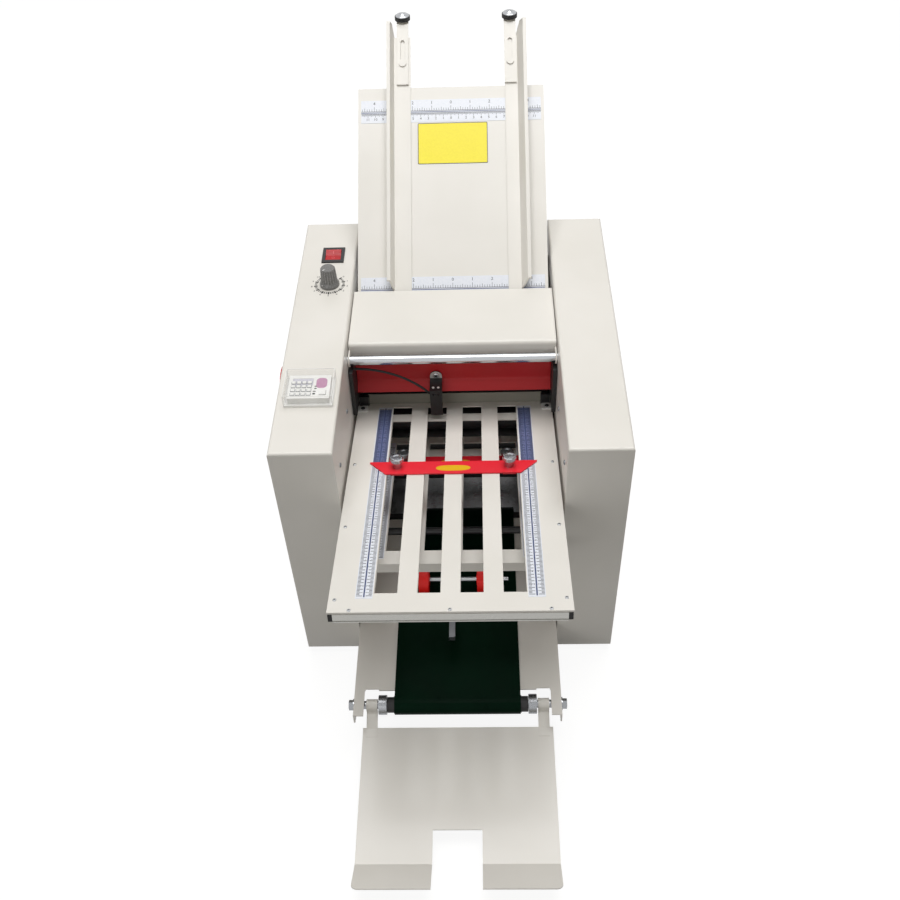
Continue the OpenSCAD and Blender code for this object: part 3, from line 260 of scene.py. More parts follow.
@dataclass(frozen=True)
class BareMetal(Skin):
    """Bare or plated metal; lines along one axis show how it was drawn or turned."""

    roughness: float = 0.28
    stretch: tuple[float, float, float] = (0.05, 1.0, 1.0)
    grain_mm: float = 0.5
    depth_mm: float = 0.004
    metallic: float = 1.0

    def inputs(self, tree: bpy.types.NodeTree) -> dict[str, object]:
        """Returns the inputs of the surface's shader, see Skin."""
        lines = noise(tree, self.grain_mm, 3.0, self.stretch)
        drawn = remap(tree, lines, self.roughness * 0.75, self.roughness * 1.3)
        smudge = remap(tree, noise(tree, 24.0, 3.0), -0.03, 0.05)
        return {
            "Base Color": srgb(self.shade), "Metallic": self.metallic,
            "Roughness": calc(tree, "ADD", drawn, smudge),
            "Normal": bump(tree, lines, self.depth_mm)}


@dataclass(frozen=True)
class Moulding(Skin):
    """Injection-moulded plastic or rubber with the fine spark texture of its mould."""

    shade_worn: str
    roughness: float = 0.45
    grain_mm: float = 0.7
    depth_mm: float = 0.02
    coat: float = 0.0
    glow: float = 0.0
    fleck_mm: float = 18.0

    def inputs(self, tree: bpy.types.NodeTree) -> dict[str, object]:
        """Returns the inputs of the surface's shader, see Skin."""
        grain = noise(tree, self.grain_mm, 3.0)
        return {
            "Base Color": tint(tree, noise(tree, self.fleck_mm, 2.0), self.shade,
                               self.shade_worn),
            "Roughness": remap(tree, grain, self.roughness - 0.06, self.roughness + 0.08),
            "IOR": 1.49, "Coat Weight": self.coat, "Coat Roughness": 0.08,
            "Emission Color": srgb(self.shade), "Emission Strength": self.glow,
            "Normal": bump(tree, grain, self.depth_mm)}


@dataclass(frozen=True)
class BeltSkin(Skin):
    """Calendered conveyor belting: a smooth, glossy sheet with a fine cloth print."""

    name: str = "green_belting"
    shade: str = "#02180D"
    shade_far: str = "#052013"
    weave_mm: float = 0.9

    def inputs(self, tree: bpy.types.NodeTree) -> dict[str, object]:
        """Returns the inputs of the surface's shader, see Skin."""
        coords = add_node(tree, "ShaderNodeTexCoord")
        scale = 2 * math.pi / (self.weave_mm * MM)
        split = add_node(tree, "ShaderNodeSeparateXYZ", {0: coords.outputs["Object"]})
        waves = [calc(tree, "SINE", calc(tree, "MULTIPLY", split.outputs[i], scale))
                 for i in (0, 1)]
        broad = noise(tree, 60.0, 3.0)
        return {
            "Base Color": tint(tree, broad, self.shade, self.shade_far),
            "Roughness": remap(tree, broad, 0.26, 0.38), "IOR": 1.36,
            "Specular IOR Level": 0.05,
            "Normal": bump(tree, calc(tree, "MULTIPLY", *waves), 0.01, 0.4)}


@dataclass(frozen=True)
class ClearLid(Skin):
    """Clear polystyrene, moulded: nearly invisible on the flat and bright at its edges."""

    name: str = "clear_polystyrene"
    shade: str = "#FDFDFD"

    def surface(self, tree: bpy.types.NodeTree) -> bpy.types.NodeSocket:
        """Returns the socket of the whole surface, see Skin."""
        rim = add_node(tree, "ShaderNodeLayerWeight", {"Blend": 0.3})
        clear = add_node(tree, "ShaderNodeBsdfTransparent", {"Color": srgb(self.shade)})
        gloss = add_node(tree, "ShaderNodeBsdfPrincipled", {
            "Base Color": srgb("#FFFFFF"), "Roughness": remap(tree, noise(tree, 9.0), 0.05, 0.1),
            "IOR": 1.55})
        return add_node(tree, "ShaderNodeMixShader", {
            0: remap(tree, rim.outputs["Facing"], 0.02, 0.3, 0.25, 1.0),
            1: clear.outputs[0], 2: gloss.outputs[0]}).outputs[0]


@dataclass(frozen=True)
class Print(Skin):
    """Printing ink or printed film: flat colour under a thin clear film."""

    shade_far: str
    roughness: float = 0.35

    def inputs(self, tree: bpy.types.NodeTree) -> dict[str, object]:
        """Returns the inputs of the surface's shader, see Skin."""
        mottle = noise(tree, 2.5, 3.0)
        return {
            "Base Color": tint(tree, mottle, self.shade, self.shade_far),
            "Roughness": remap(tree, mottle, self.roughness - 0.04, self.roughness + 0.06),
            "IOR": 1.46, "Coat Weight": 0.15, "Coat Roughness": 0.15}


class Finish(Enum):
    """Every finish on the machine."""

    # Stove enamel on steel sheet: a soft, even gloss over a faint orange peel.
    PAINT = Enamel("warm_white_enamel", "#E4E1DB", "#DFDCD5")
    GUARD = Enamel("dark_red_enamel", "#B80A15", "#AE0812", 0.5, coat=0.02)
    STOP = Enamel("bright_red_enamel", "#EE2436", "#E21C2E", 0.36, coat=0.1)
    BLACK_PLATE = Enamel("black_enamel", "#1A1A1B", "#141415", 0.5, 1.2, coat=0.05)
    # Painted shade: a darker grey copy of the enamel for the mouth's upright flange, which stands
    # in shade.
    GREY_PLATE = Enamel("grey_enamel_painted_shade", "#949287", "#8A887E", 0.45, 1.2, coat=0.05)
    # Ground, plated and chromed steel: from a grey satin sheen to a mirror.
    STEEL = BareMetal("ground_steel", "#A4A6A8", 0.3)
    ZINC = BareMetal("zinc_plate", "#B6B8BA", 0.34, (1.0, 1.0, 1.0), 1.4)
    RAIL = BareMetal("bright_rail", "#A9A8A4", 0.26, (0.03, 1.0, 1.0), 0.9)
    DULL_ZINC = BareMetal("dull_zinc_plate", "#85888B", 0.42, (1.0, 1.0, 1.0), 1.8)
    BRACKET = BareMetal("matt_nickel", "#CFCFCB", 0.5, (1.0, 1.0, 1.0), 1.2, metallic=0.45)
    SHAFT = BareMetal("bright_shaft", "#97999C", 0.26, (1.0, 1.0, 1.0), 1.0)
    CHROME = BareMetal("chrome_plate", "#B9BBBE", 0.1, (0.02, 1.0, 1.0), 0.8, 0.001)
    # Ground and moulded rubber: near black, with hardly a highlight.
    ROLLER = Moulding("roller_rubber", "#1D1D1E", "#262627", 0.55, 0.9, 0.03)
    RUBBER = Moulding("black_rubber", "#161616", "#1F1F1F", 0.6, 0.9, 0.03)
    BELT = BeltSkin()
    # Moulded plastic: satin black, speckled grey, clean white and clear glossy reds.
    BLACK = Moulding("black_abs", "#171718", "#1F1F20", 0.38, 0.6, 0.015)
    GREY = Moulding("grey_abs", "#4C4C4C", "#8E8D8B", 0.3, 0.5, 0.03, fleck_mm=0.8)
    WHITE = Moulding("white_abs", "#F4F4F2", "#EDEDEA", 0.35, 0.6, 0.01)
    RED = Moulding("red_abs", "#DE0F16", "#D00C13", 0.25, 0.8, 0.01, 0.3)
    # Partly painted light: the wheels' own red, raised brighter to stand for the light that falls
    # on them.
    WHEEL = Moulding("red_polyurethane_painted_bright", "#FF1A14", "#F41009", 0.5, 0.8, 0.01)
    WORN_RIB = Moulding("light_grey_abs", "#77777A", "#A9A8A6", 0.24, 0.5, 0.03, fleck_mm=0.9)
    LAMP_RED = Moulding("red_polycarbonate", "#B4000F", "#A0000C", 0.42, 3.0, 0.004, 0.0, 0.03)
    # Hammer paint and cork rubber: dull and coarse, seen only through gaps.
    MOTOR = Moulding("grey_hammer_paint", "#3B3E43", "#45494E", 0.4, 1.6, 0.05)
    PAD = Moulding("cork_rubber", "#6A5646", "#58473A", 0.8, 1.1, 0.08)
    CLEAR = ClearLid()
    # Printed film and ink: flat colour with a thin, soft shine.
    FILM = Print("ruler_film", "#E6E9F0", "#DFE3EC")
    INK = Print("ruler_ink", "#12182B", "#1A2136", 0.6)
    BLUE_BAND = Print("ruler_band", "#39466F", "#435079", 0.4)
    BLACK_INK = Print("black_ink", "#171719", "#222224", 0.4)
    WHITE_INK = Print("white_ink", "#F0F0EE", "#E8E8E6", 0.4)
    FAINT_INK = Print("worn_ink", "#DE5A60", "#D45056", 0.3)
    LABEL = Print("yellow_film", "#F6E60C", "#F1E008", 0.45)
    OVAL = Print("amber_film", "#E9B90F", "#E3B30B", 0.35)
    PINK = Print("pink_print", "#C795B4", "#B583A4", 0.35)
    GREY_INK = Print("grey_ink", "#8E9093", "#84868A", 0.4)
    # Painted shade: the rulers' film, darker and bluer where the rear of the plate lies in shade.
    REAR_FILM = Print("film_in_painted_shade", "#6A759E", "#636E96", 0.5)
    DISPLAY = Print("display_glass", "#D6D5DE", "#CCCBD6", 0.2)
    # Painted shade: a dark sheet that stands for the shade at the bottom of a recess.
    SHADOW = Moulding("painted_recess_shade", "#0C0C0C", "#101010", 0.8)

    def material(self) -> bpy.types.Material:
        """Returns the one material of this finish, built on first use."""
        return bpy.data.materials.get(self.value.name) or self.value.build()


NODE_FINISH: dict[str, Finish] = {
    "base_pan": Finish.STEEL, "rubber_feet": Finish.RUBBER,
    "left_side_frame": Finish.BLACK_PLATE, "right_side_frame": Finish.BLACK_PLATE,
    "left_housing": Finish.PAINT, "right_housing": Finish.PAINT, "tie_rods": Finish.BLACK_PLATE,
    "roller_bearings": Finish.ZINC, "chrome_rod": Finish.CHROME, "top_cover": Finish.PAINT,
    "red_guard": Finish.GUARD, "feed_table": Finish.PAINT, "feed_chute": Finish.STEEL,
    "separator_pad": Finish.PAD, "feed_roller": Finish.ROLLER, "idler_gear": Finish.ZINC,
    "hand_wheel": Finish.RED, "motor": Finish.MOTOR, "motor_pulley": Finish.ZINC,
    "drive_belts": Finish.RUBBER, "upper_fold_plate": Finish.PAINT,
    "upper_plate_base": Finish.PAINT, "lower_fold_plate": Finish.PAINT,
    "rear_fold_plates": Finish.PAINT, "plate_rulers": Finish.FILM,
    "upper_stop_bar": Finish.STOP, "upper_stop_screw_left": Finish.CHROME,
    "upper_stop_screw_right": Finish.CHROME, "lower_stop_bar": Finish.STOP,
    "rear_upper_stop": Finish.STOP, "rear_lower_stop": Finish.STOP,
    "paper_mouth": Finish.GREY_PLATE, "photo_sensor": Finish.BLACK, "sensor_cable": Finish.RUBBER,
    "conveyor_frame": Finish.PAINT, "conveyor_belt": Finish.BELT,
    "conveyor_shaft": Finish.SHAFT, "conveyor_front_roller": Finish.RUBBER,
    "conveyor_rear_roller": Finish.RUBBER, "pusher_bar": Finish.DULL_ZINC,
    "pusher_frame": Finish.ZINC, "pusher_wheels": Finish.WHEEL, "receiving_tray": Finish.PAINT,
    "left_guide": Finish.PAINT, "right_guide": Finish.PAINT, "left_extension": Finish.PAINT,
    "right_extension": Finish.PAINT, "switch_bezel": Finish.BLACK, "rocker": Finish.LAMP_RED,
    "speed_knob": Finish.GREY, "counter_body": Finish.WHITE, "counter_lid": Finish.CLEAR,
    "reset_key": Finish.WHITE, "power_inlet": Finish.BLACK,
} | {f"fold_roller_{i}": Finish.ROLLER for i in range(1, 7)}


# ---------------------------------------------------------------- places and meshes


def turned(degrees: float, axis: str) -> Matrix:
    """Returns the matrix of a turn.

    Args:
        degrees: Angle of the turn.
        axis: Axis to turn about.
    """
    return Matrix.Rotation(math.radians(degrees), 4, axis)


@dataclass(frozen=True)
class Machine:
    """Where the machine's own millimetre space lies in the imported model."""

    shift_x: float
    shift_y: float

    @classmethod
    def from_frame(cls) -> "Machine":
        """Returns the place read from the left housing's box."""
        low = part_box("left_housing")[0]
        return cls(low[0] / MM - HOUSING_LEFT_X, low[1] / MM)

    def matrix(self) -> Matrix:
        """Returns the matrix from machine millimetres to the model's metres."""
        return Matrix.Scale(MM, 4) @ Matrix.Translation((self.shift_x, self.shift_y, 0.0))

    def at(self, x: float, y: float, z: float) -> Matrix:
        """Returns the matrix of a spot of the machine.

        Args:
            x: Sideways place in machine millimetres.
            y: Depth.
            z: Height.
        """
        return self.matrix() @ Matrix.Translation((x, y, z))

    def slope(self, y: float, z: float, degrees: float) -> Matrix:
        """Returns the matrix of a face that climbs towards +Y at an angle.

        Args:
            y: Depth of the face's own origin.
            z: Height of the face's own origin.
            degrees: Angle of the climb.
        """
        return self.at(0, y, z) @ turned(degrees, "X")


PLACE = Machine.from_frame()


def shown(name: str, data: bpy.types.ID) -> bpy.types.Object:
    """Puts data into the scene as an object.

    Args:
        name: Name of the object.
        data: Its mesh, curve, lamp or camera.

    Returns:
        The object, at the origin.
    """
    piece = bpy.data.objects.new(name, data)
    bpy.context.scene.collection.objects.link(piece)
    return piece


def dressed(piece: bpy.types.Object, body: str = "machine") -> None:
    """Lets a finished piece ride on its body and reports it.

    Args:
        piece: The piece, in place.
        body: Name of the body that carries it.
    """
    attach(piece, body)
    LOG.info("%s on %s, %d faces", piece.name, body, len(piece.data.polygons))


def printed(name: str, verts: Sequence[Sequence[float]], faces: Sequence[Sequence[int]],
            finish: Finish, matrix: Matrix, body: str = "machine") -> None:
    """Makes a piece from corners and faces.

    Args:
        name: Name of the piece.
        verts: Corners in the local millimetre space.
        faces: Corner numbers of each face.
        finish: Finish of the piece.
        matrix: Matrix from the local space to the model.
        body: Body that carries the piece.
    """
    mesh = bpy.data.meshes.new(name)
    mesh.from_pydata([matrix @ Vector(v) for v in verts], [], [list(f) for f in faces])
    mesh.materials.append(finish.material())
    mesh.validate()
    dressed(shown(name, mesh), body)


def fitted(name: str, bm: bmesh.types.BMesh, finish: Finish, matrix: Matrix,
           body: str = "machine", smooth: bool = False) -> None:
    """Makes a piece from a local-space bmesh and frees it.

    Args:
        name: Name of the piece.
        bm: Geometry in local millimetres.
        finish: Finish of the piece.
        matrix: Matrix from the local space to the model.
        body: Body that carries the piece.
        smooth: Whether faces are shaded smooth.
    """
    bmesh.ops.remove_doubles(bm, verts=bm.verts, dist=0.001)
    bmesh.ops.recalc_face_normals(bm, faces=bm.faces)
    bm.transform(matrix)
    mesh = bpy.data.meshes.new(name)
    for face in bm.faces:
        face.smooth = smooth
    bm.to_mesh(mesh)
    bm.free()
    mesh.materials.append(finish.material())
    dressed(shown(name, mesh), body)


def slab(outline: Sequence[tuple[float, float]], z0: float, z1: float,
         bm: bmesh.types.BMesh | None = None) -> bmesh.types.BMesh:
    """Extrudes a flat outline into a thin closed plate.

    Args:
        outline: Corners, anticlockwise seen from +Z.
        z0: Lower face.
        z1: Upper face.
        bm: Geometry to add to.

    Returns:
        The geometry.
    """
    bm = bm or bmesh.new()
    low = [bm.verts.new((x, y, z0)) for x, y in outline]
    high = [bm.verts.new((x, y, z1)) for x, y in outline]
    bm.faces.new(high)
    bm.faces.new(low[::-1])
    count = len(outline)
    for i in range(count):
        j = (i + 1) % count
        bm.faces.new((low[i], low[j], high[j], high[i]))
    return bm


def rounded(width: float, height: float, radius: float, cx: float = 0.0,
            cy: float = 0.0) -> list[tuple[float, float]]:
    """Returns the outline of a rectangle with round corners.

    Args:
        width: Size along X.
        height: Size along Y.
        radius: Corner radius.
        cx: Centre along X.
        cy: Centre along Y.
    """
    points = []
    for k, (sx, sy) in enumerate(((1, -1), (1, 1), (-1, 1), (-1, -1))):
        for i in range(CORNER_STEPS + 1):
            a = math.radians(-90 + 90 * k + 90 * i / CORNER_STEPS)
            points.append((cx + sx * (width / 2 - radius) + radius * math.cos(a),
                           cy + sy * (height / 2 - radius) + radius * math.sin(a)))
    return points


def spun(profile: Sequence[tuple[float, float]], segments: int = 32) -> bmesh.types.BMesh:
    """Turns a profile of radius and height about Z into a closed solid.

    Args:
        profile: Points (radius, z) from the axis at the bottom to the axis at the top.
        segments: Steps round the turn.

    Returns:
        The geometry.
    """
    bm = bmesh.new()
    rings = []
    for r, z in profile:
        if r < 1e-6:
            rings.append([bm.verts.new((0, 0, z))] * segments)
        else:
            rings.append([bm.verts.new((r * math.cos(2 * math.pi * i / segments),
                                        r * math.sin(2 * math.pi * i / segments), z))
                          for i in range(segments)])
    for a, b in zip(rings, rings[1:]):
        for i in range(segments):
            j = (i + 1) % segments
            corners = list(dict.fromkeys((a[i], a[j], b[j], b[i])))
            if len(corners) > 2:
                bm.faces.new(corners)
    return bm


def text_mesh(words: Iterable[tuple[str, float, float]], size: float,
              turn: float = 0.0) -> tuple[list[Vector], list[list[int]]]:
    """Makes flat figures as one mesh.

    Args:
        words: Each figure with the place of its middle.
        size: Height of the letters in millimetres.
        turn: Rotation of every figure in degrees.

    Returns:
        Corners and faces in local millimetres.
    """
    verts: list[Vector] = []
    faces: list[list[int]] = []
    cache: dict[str, bpy.types.Mesh] = {}
    spin = turned(turn, "Z")
    for word, x, y in words:
        if word not in cache:
            curve = bpy.data.curves.new("figure", "FONT")
            curve.body, curve.size = word, size
            curve.align_x = curve.align_y = "CENTER"
            curve.resolution_u = 2
            holder = shown("figure", curve)
            graph = bpy.context.evaluated_depsgraph_get()
            cache[word] = bpy.data.meshes.new_from_object(holder.evaluated_get(graph))
            bpy.data.objects.remove(holder)
        base = len(verts)
        mesh = cache[word]
        verts += [spin @ v.co + Vector((x, y, 0)) for v in mesh.vertices]
        faces += [[base + i for i in p.vertices] for p in mesh.polygons]
    return verts, faces


# ---------------------------------------------------------------- geometry node trees


@dataclass
class PatternTree:
    """A Geometry Nodes tree with named inputs that is baked to a plain mesh."""

    title: str
    inputs: dict[str, tuple[str, object]]
    grow: Callable[[bpy.types.NodeTree, dict[str, bpy.types.NodeSocket]], bpy.types.NodeSocket]

    def bake(self, name: str, finish: Finish, carrier: bpy.types.Mesh | None = None,
             **values: object) -> bpy.types.Object:
        """Runs the tree once and keeps its result.

        Args:
            name: Name of the new piece.
            finish: Finish of the result.
            carrier: Mesh whose points the tree starts from.
            values: Input name to value.

        Returns:
            The baked object, at the origin.
        """
        tree = bpy.data.node_groups.new(self.title, "GeometryNodeTree")
        tree.interface.new_socket("Geometry", in_out="INPUT", socket_type="NodeSocketGeometry")
        ids = {}
        for label, (kind, default) in self.inputs.items():
            item = tree.interface.new_socket(label, in_out="INPUT", socket_type=kind)
            if default is not None:
                item.default_value = default
            ids[label] = item.identifier
        finish_item = tree.interface.new_socket(
            "Finish", in_out="INPUT", socket_type="NodeSocketMaterial")
        tree.interface.new_socket("Geometry", in_out="OUTPUT", socket_type="NodeSocketGeometry")
        entry = add_node(tree, "NodeGroupInput")
        sockets = {s.name: s for s in entry.outputs if s.name}
        grown = self.grow(tree, sockets)
        solid = add_node(tree, "GeometryNodeRealizeInstances", {0: grown})
        painted = add_node(tree, "GeometryNodeSetMaterial", {
            "Geometry": solid.outputs[0], "Material": sockets["Finish"]})
        add_node(tree, "NodeGroupOutput", {0: painted.outputs[0]})
        start = carrier or bpy.data.meshes.new(f"{name}_points")
        holder = shown(f"{name}_pattern", start)
        modifier = holder.modifiers.new(self.title, "NODES")
        modifier.node_group = tree
        for label, value in values.items():
            modifier[ids[label]] = value
        modifier[finish_item.identifier] = finish.material()
        graph = bpy.context.evaluated_depsgraph_get()
        mesh = bpy.data.meshes.new_from_object(holder.evaluated_get(graph))
        holder.modifiers.remove(modifier)
        bpy.data.objects.remove(holder)
        mesh.name = name
        return shown(name, mesh)


def grow_graduations(tree: bpy.types.NodeTree,
                     named: dict[str, bpy.types.NodeSocket]) -> bpy.types.NodeSocket:
    """Lays marks in a row, with a longer one at every fifth and tenth.

    Args:
        tree: Tree under construction.
        named: Its named inputs.

    Returns:
        The socket with all the marks as instances.
    """
    offset = add_node(tree, "ShaderNodeCombineXYZ", {"X": named["Step"]})
    row = add_node(tree, "GeometryNodeMeshLine", {
        "Count": named["Count"], "Offset": offset.outputs[0]}, mode="OFFSET")
    index = add_node(tree, "GeometryNodeInputIndex")

    def every(period: bpy.types.NodeSocket) -> bpy.types.NodeSocket:
        """Returns 1 on each mark whose number the period divides."""
        rest = calc(tree, "MODULO", index.outputs[0], period)
        return calc(tree, "LESS_THAN", rest, 0.5)

    medium = calc(tree, "MULTIPLY", every(named["Medium every"]), named["Medium extra"])
    longest = calc(tree, "MULTIPLY_ADD", every(named["Long every"]), named["Long extra"], medium)
    length = calc(tree, "ADD", named["Length"], longest)
    size = add_node(tree, "ShaderNodeCombineXYZ", {
        "X": named["Width"], "Y": length, "Z": 1.0})
    mark = add_node(tree, "GeometryNodeMeshGrid", {
        "Size X": 1.0, "Size Y": 1.0, "Vertices X": 2, "Vertices Y": 2})
    rooted = add_node(tree, "GeometryNodeTransform", {
        "Geometry": mark.outputs[0], "Translation": (0.0, 0.5, 0.0)})
    marks = add_node(tree, "GeometryNodeInstanceOnPoints", {
        "Points": row.outputs[0], "Instance": rooted.outputs[0], "Scale": size.outputs[0]})
    placed = add_node(tree, "GeometryNodeTransform", {
        "Geometry": marks.outputs[0], "Translation": named["Place"], "Rotation": named["Turn"]})
    return placed.outputs[0]


GRADUATIONS = PatternTree("graduations", {
    "Count": ("NodeSocketInt", 100), "Step": ("NodeSocketFloat", 1.0),
    "Width": ("NodeSocketFloat", 0.2), "Length": ("NodeSocketFloat", 2.0),
    "Medium every": ("NodeSocketFloat", 5.0), "Medium extra": ("NodeSocketFloat", 0.8),
    "Long every": ("NodeSocketFloat", 10.0), "Long extra": ("NodeSocketFloat", 1.0),
    "Place": ("NodeSocketVector", (0.0, 0.0, 0.0)),
    "Turn": ("NodeSocketVector", (0.0, 0.0, 0.0)),
}, grow_graduations)


def grow_dial(tree: bpy.types.NodeTree,
              named: dict[str, bpy.types.NodeSocket]) -> bpy.types.NodeSocket:
    """Lays marks round part of a circle, each pointing at its centre.

    Args:
        tree: Tree under construction.
        named: Its named inputs.

    Returns:
        The socket with all the marks as instances.
    """
    row = add_node(tree, "GeometryNodeMeshLine", {
        "Count": named["Count"], "Offset": (0.0, 0.0, 0.0)}, mode="OFFSET")
    index = add_node(tree, "GeometryNodeInputIndex")
    angle = calc(tree, "MULTIPLY_ADD", index.outputs[0], named["Step"], named["Start"])
    turn = add_node(tree, "ShaderNodeCombineXYZ", {"Z": angle})
    mark = add_node(tree, "GeometryNodeMeshGrid", {
        "Size X": named["Length"], "Size Y": named["Width"], "Vertices X": 2, "Vertices Y": 2})
    reach = add_node(tree, "ShaderNodeCombineXYZ", {"X": named["Radius"]})
    rooted = add_node(tree, "GeometryNodeTransform", {
        "Geometry": mark.outputs[0], "Translation": reach.outputs[0]})
    marks = add_node(tree, "GeometryNodeInstanceOnPoints", {
        "Points": row.outputs[0], "Instance": rooted.outputs[0], "Rotation": turn.outputs[0]})
    placed = add_node(tree, "GeometryNodeTransform", {
        "Geometry": marks.outputs[0], "Translation": named["Place"]})
    return placed.outputs[0]


DIAL_MARKS = PatternTree("dial_marks", {
    "Count": ("NodeSocketInt", 31), "Step": ("NodeSocketFloat", 0.15),
    "Start": ("NodeSocketFloat", 0.0), "Radius": ("NodeSocketFloat", 16.0),
    "Length": ("NodeSocketFloat", 2.0), "Width": ("NodeSocketFloat", 0.4),
    "Place": ("NodeSocketVector", (0.0, 0.0, 0.0)),
}, grow_dial)


def grow_screws(tree: bpy.types.NodeTree,
                named: dict[str, bpy.types.NodeSocket]) -> bpy.types.NodeSocket:
    """Sets a screw head on each point, square to the face and turned at random.

    Args:
        tree: Tree under construction.
        named: Its named inputs.

    Returns:
        The socket with all the heads as instances.
    """
    spin = add_node(tree, "FunctionNodeRandomValue", {"Seed": named["Seed"]}, data_type="FLOAT")
    turn = calc(tree, "MULTIPLY", spin.outputs[1], 2 * math.pi)
    own = add_node(tree, "ShaderNodeCombineXYZ", {"Z": turn})
    head = add_node(tree, "GeometryNodeObjectInfo", {"Object": named["Head"]})
    heads = add_node(tree, "GeometryNodeInstanceOnPoints", {
        "Points": named["Geometry"], "Instance": head.outputs["Geometry"],
        "Rotation": named["Tilt"]})
    turned = add_node(tree, "GeometryNodeRotateInstances", {
        "Instances": heads.outputs[0], "Rotation": own.outputs[0]})
    return turned.outputs[0]


SCREWS = PatternTree("screw_heads", {
    "Head": ("NodeSocketObject", None), "Seed": ("NodeSocketInt", 7),
    "Tilt": ("NodeSocketVector", (0.0, 0.0, 0.0)),
}, grow_screws)


@dataclass
class Fasteners:
    """Cross-recessed pan-head screws, each set driven by one tree."""

    radius: float = 2.6
    height: float = 1.4
    recess: float = 1.5
    recess_half: float = 0.36

    def pattern(self, scale: float, recess: bool) -> bpy.types.Object:
        """Makes one head or its recess, standing on Z = 0 in metres.

        Args:
            scale: Size relative to the usual screw.
            recess: Whether the dark cross of painted shade in the recess is wanted instead of the
                head.

        Returns:
            A helper object that the caller removes.
        """
        r, h = self.radius, self.height
        arm, wide = self.recess, self.recess_half
        if recess:
            cross = [(wide, -arm), (wide, -wide), (arm, -wide), (arm, wide), (wide, wide),
                     (wide, arm), (-wide, arm), (-wide, wide), (-arm, wide), (-arm, -wide),
                     (-wide, -wide), (-wide, -arm)]
            bm = slab(cross, h - 0.05, h + 0.03)
        else:
            bm = spun([(0, -0.3), (r, -0.3), (r, h * 0.35), (r * 0.92, h * 0.72),
                       (r * 0.7, h), (0, h)], 20)
        bm.transform(Matrix.Scale(MM * scale, 4))
        mesh = bpy.data.meshes.new("screw_head")
        bm.to_mesh(mesh)
        bm.free()
        return shown("screw_head", mesh)

    def place(self, name: str, points: Sequence[Sequence[float]], matrix: Matrix,
              tilt: tuple[float, float], finish: Finish = Finish.ZINC, scale: float = 1.0,
              seed: int = 7) -> None:
        """Sets heads on a face.

        Args:
            name: Name of the piece.
            points: Places in the face's local millimetres.
            matrix: Matrix from the local space to the model.
            tilt: Turns about X and Y, in degrees, that bring +Z to the face's normal.
            finish: Finish of the heads.
            scale: Size relative to the usual screw.
            seed: Seed of the random turns.
        """
        carrier = bpy.data.meshes.new(f"{name}_points")
        carrier.from_pydata([matrix @ Vector(p) for p in points], [], [])
        # The recess crosses are dark sheets of painted shade laid over the heads.
        for suffix, skin, recess in (("", finish, False), ("_recess", Finish.SHADOW, True)):
            helper = self.pattern(scale, recess)
            piece = SCREWS.bake(name + suffix, skin, carrier, Head=helper, Seed=seed,
                                Tilt=(*map(math.radians, tilt), 0.0))
            bpy.data.objects.remove(helper)
            dressed(piece)


# ---------------------------------------------------------------- rulers


@dataclass
class Ruler:
    """A printed scale on one face of the machine."""

    matrix: Matrix
    lift: float = 0.36

    def row(self, name: str, start: tuple[float, float], turn: float, count: int, step: float,
            length: float, per_long: float, width: float) -> None:
        """Prints one row of marks.

        Args:
            name: Name of the piece.
            start: Place of the first mark's root.
            turn: Direction of the row in degrees; marks grow to its left.
            count: Number of marks.
            step: Distance between marks.
            length: Length of the short marks.
            per_long: Every so many marks is a long one.
            width: Width of the ink line.
        """
        piece = GRADUATIONS.bake(name, Finish.INK, Count=count, Step=step, Width=width,
                                 Length=length, **{
                                     "Medium every": per_long / 2, "Long every": per_long,
                                     "Medium extra": length * 0.4, "Long extra": length * 0.5,
                                     "Place": (start[0], start[1], self.lift),
                                     "Turn": (0.0, 0.0, math.radians(turn))})
        piece.data.transform(self.matrix)
        dressed(piece)

    def figures(self, name: str, words: Sequence[tuple[str, float, float]], size: float,
                turn: float) -> None:
        """Prints the numbers of a scale.

        Args:
            name: Name of the piece.
            words: Figures with their places.
            size: Height of the figures.
            turn: Their rotation in degrees.
        """
        verts, faces = text_mesh(words, size, turn)
        raised = [(v.x, v.y, self.lift) for v in verts]
        printed(name, raised, faces, Finish.INK, self.matrix)

    def band(self, name: str, x0: float, y0: float, x1: float, y1: float,
             finish: Finish, sink: float = -0.03) -> None:
        """Prints a filled strip.

        Args:
            name: Name of the piece.
            x0: First side.
            y0: Lower end.
            x1: Second side.
            y1: Upper end.
            finish: Ink of the strip.
            sink: Height of the strip against the marks.
        """
        z = self.lift + sink
        corners = [(x0, y0, z), (x1, y0, z), (x1, y1, z), (x0, y1, z)]
        printed(name, corners, [(0, 1, 2, 3)], finish, self.matrix)


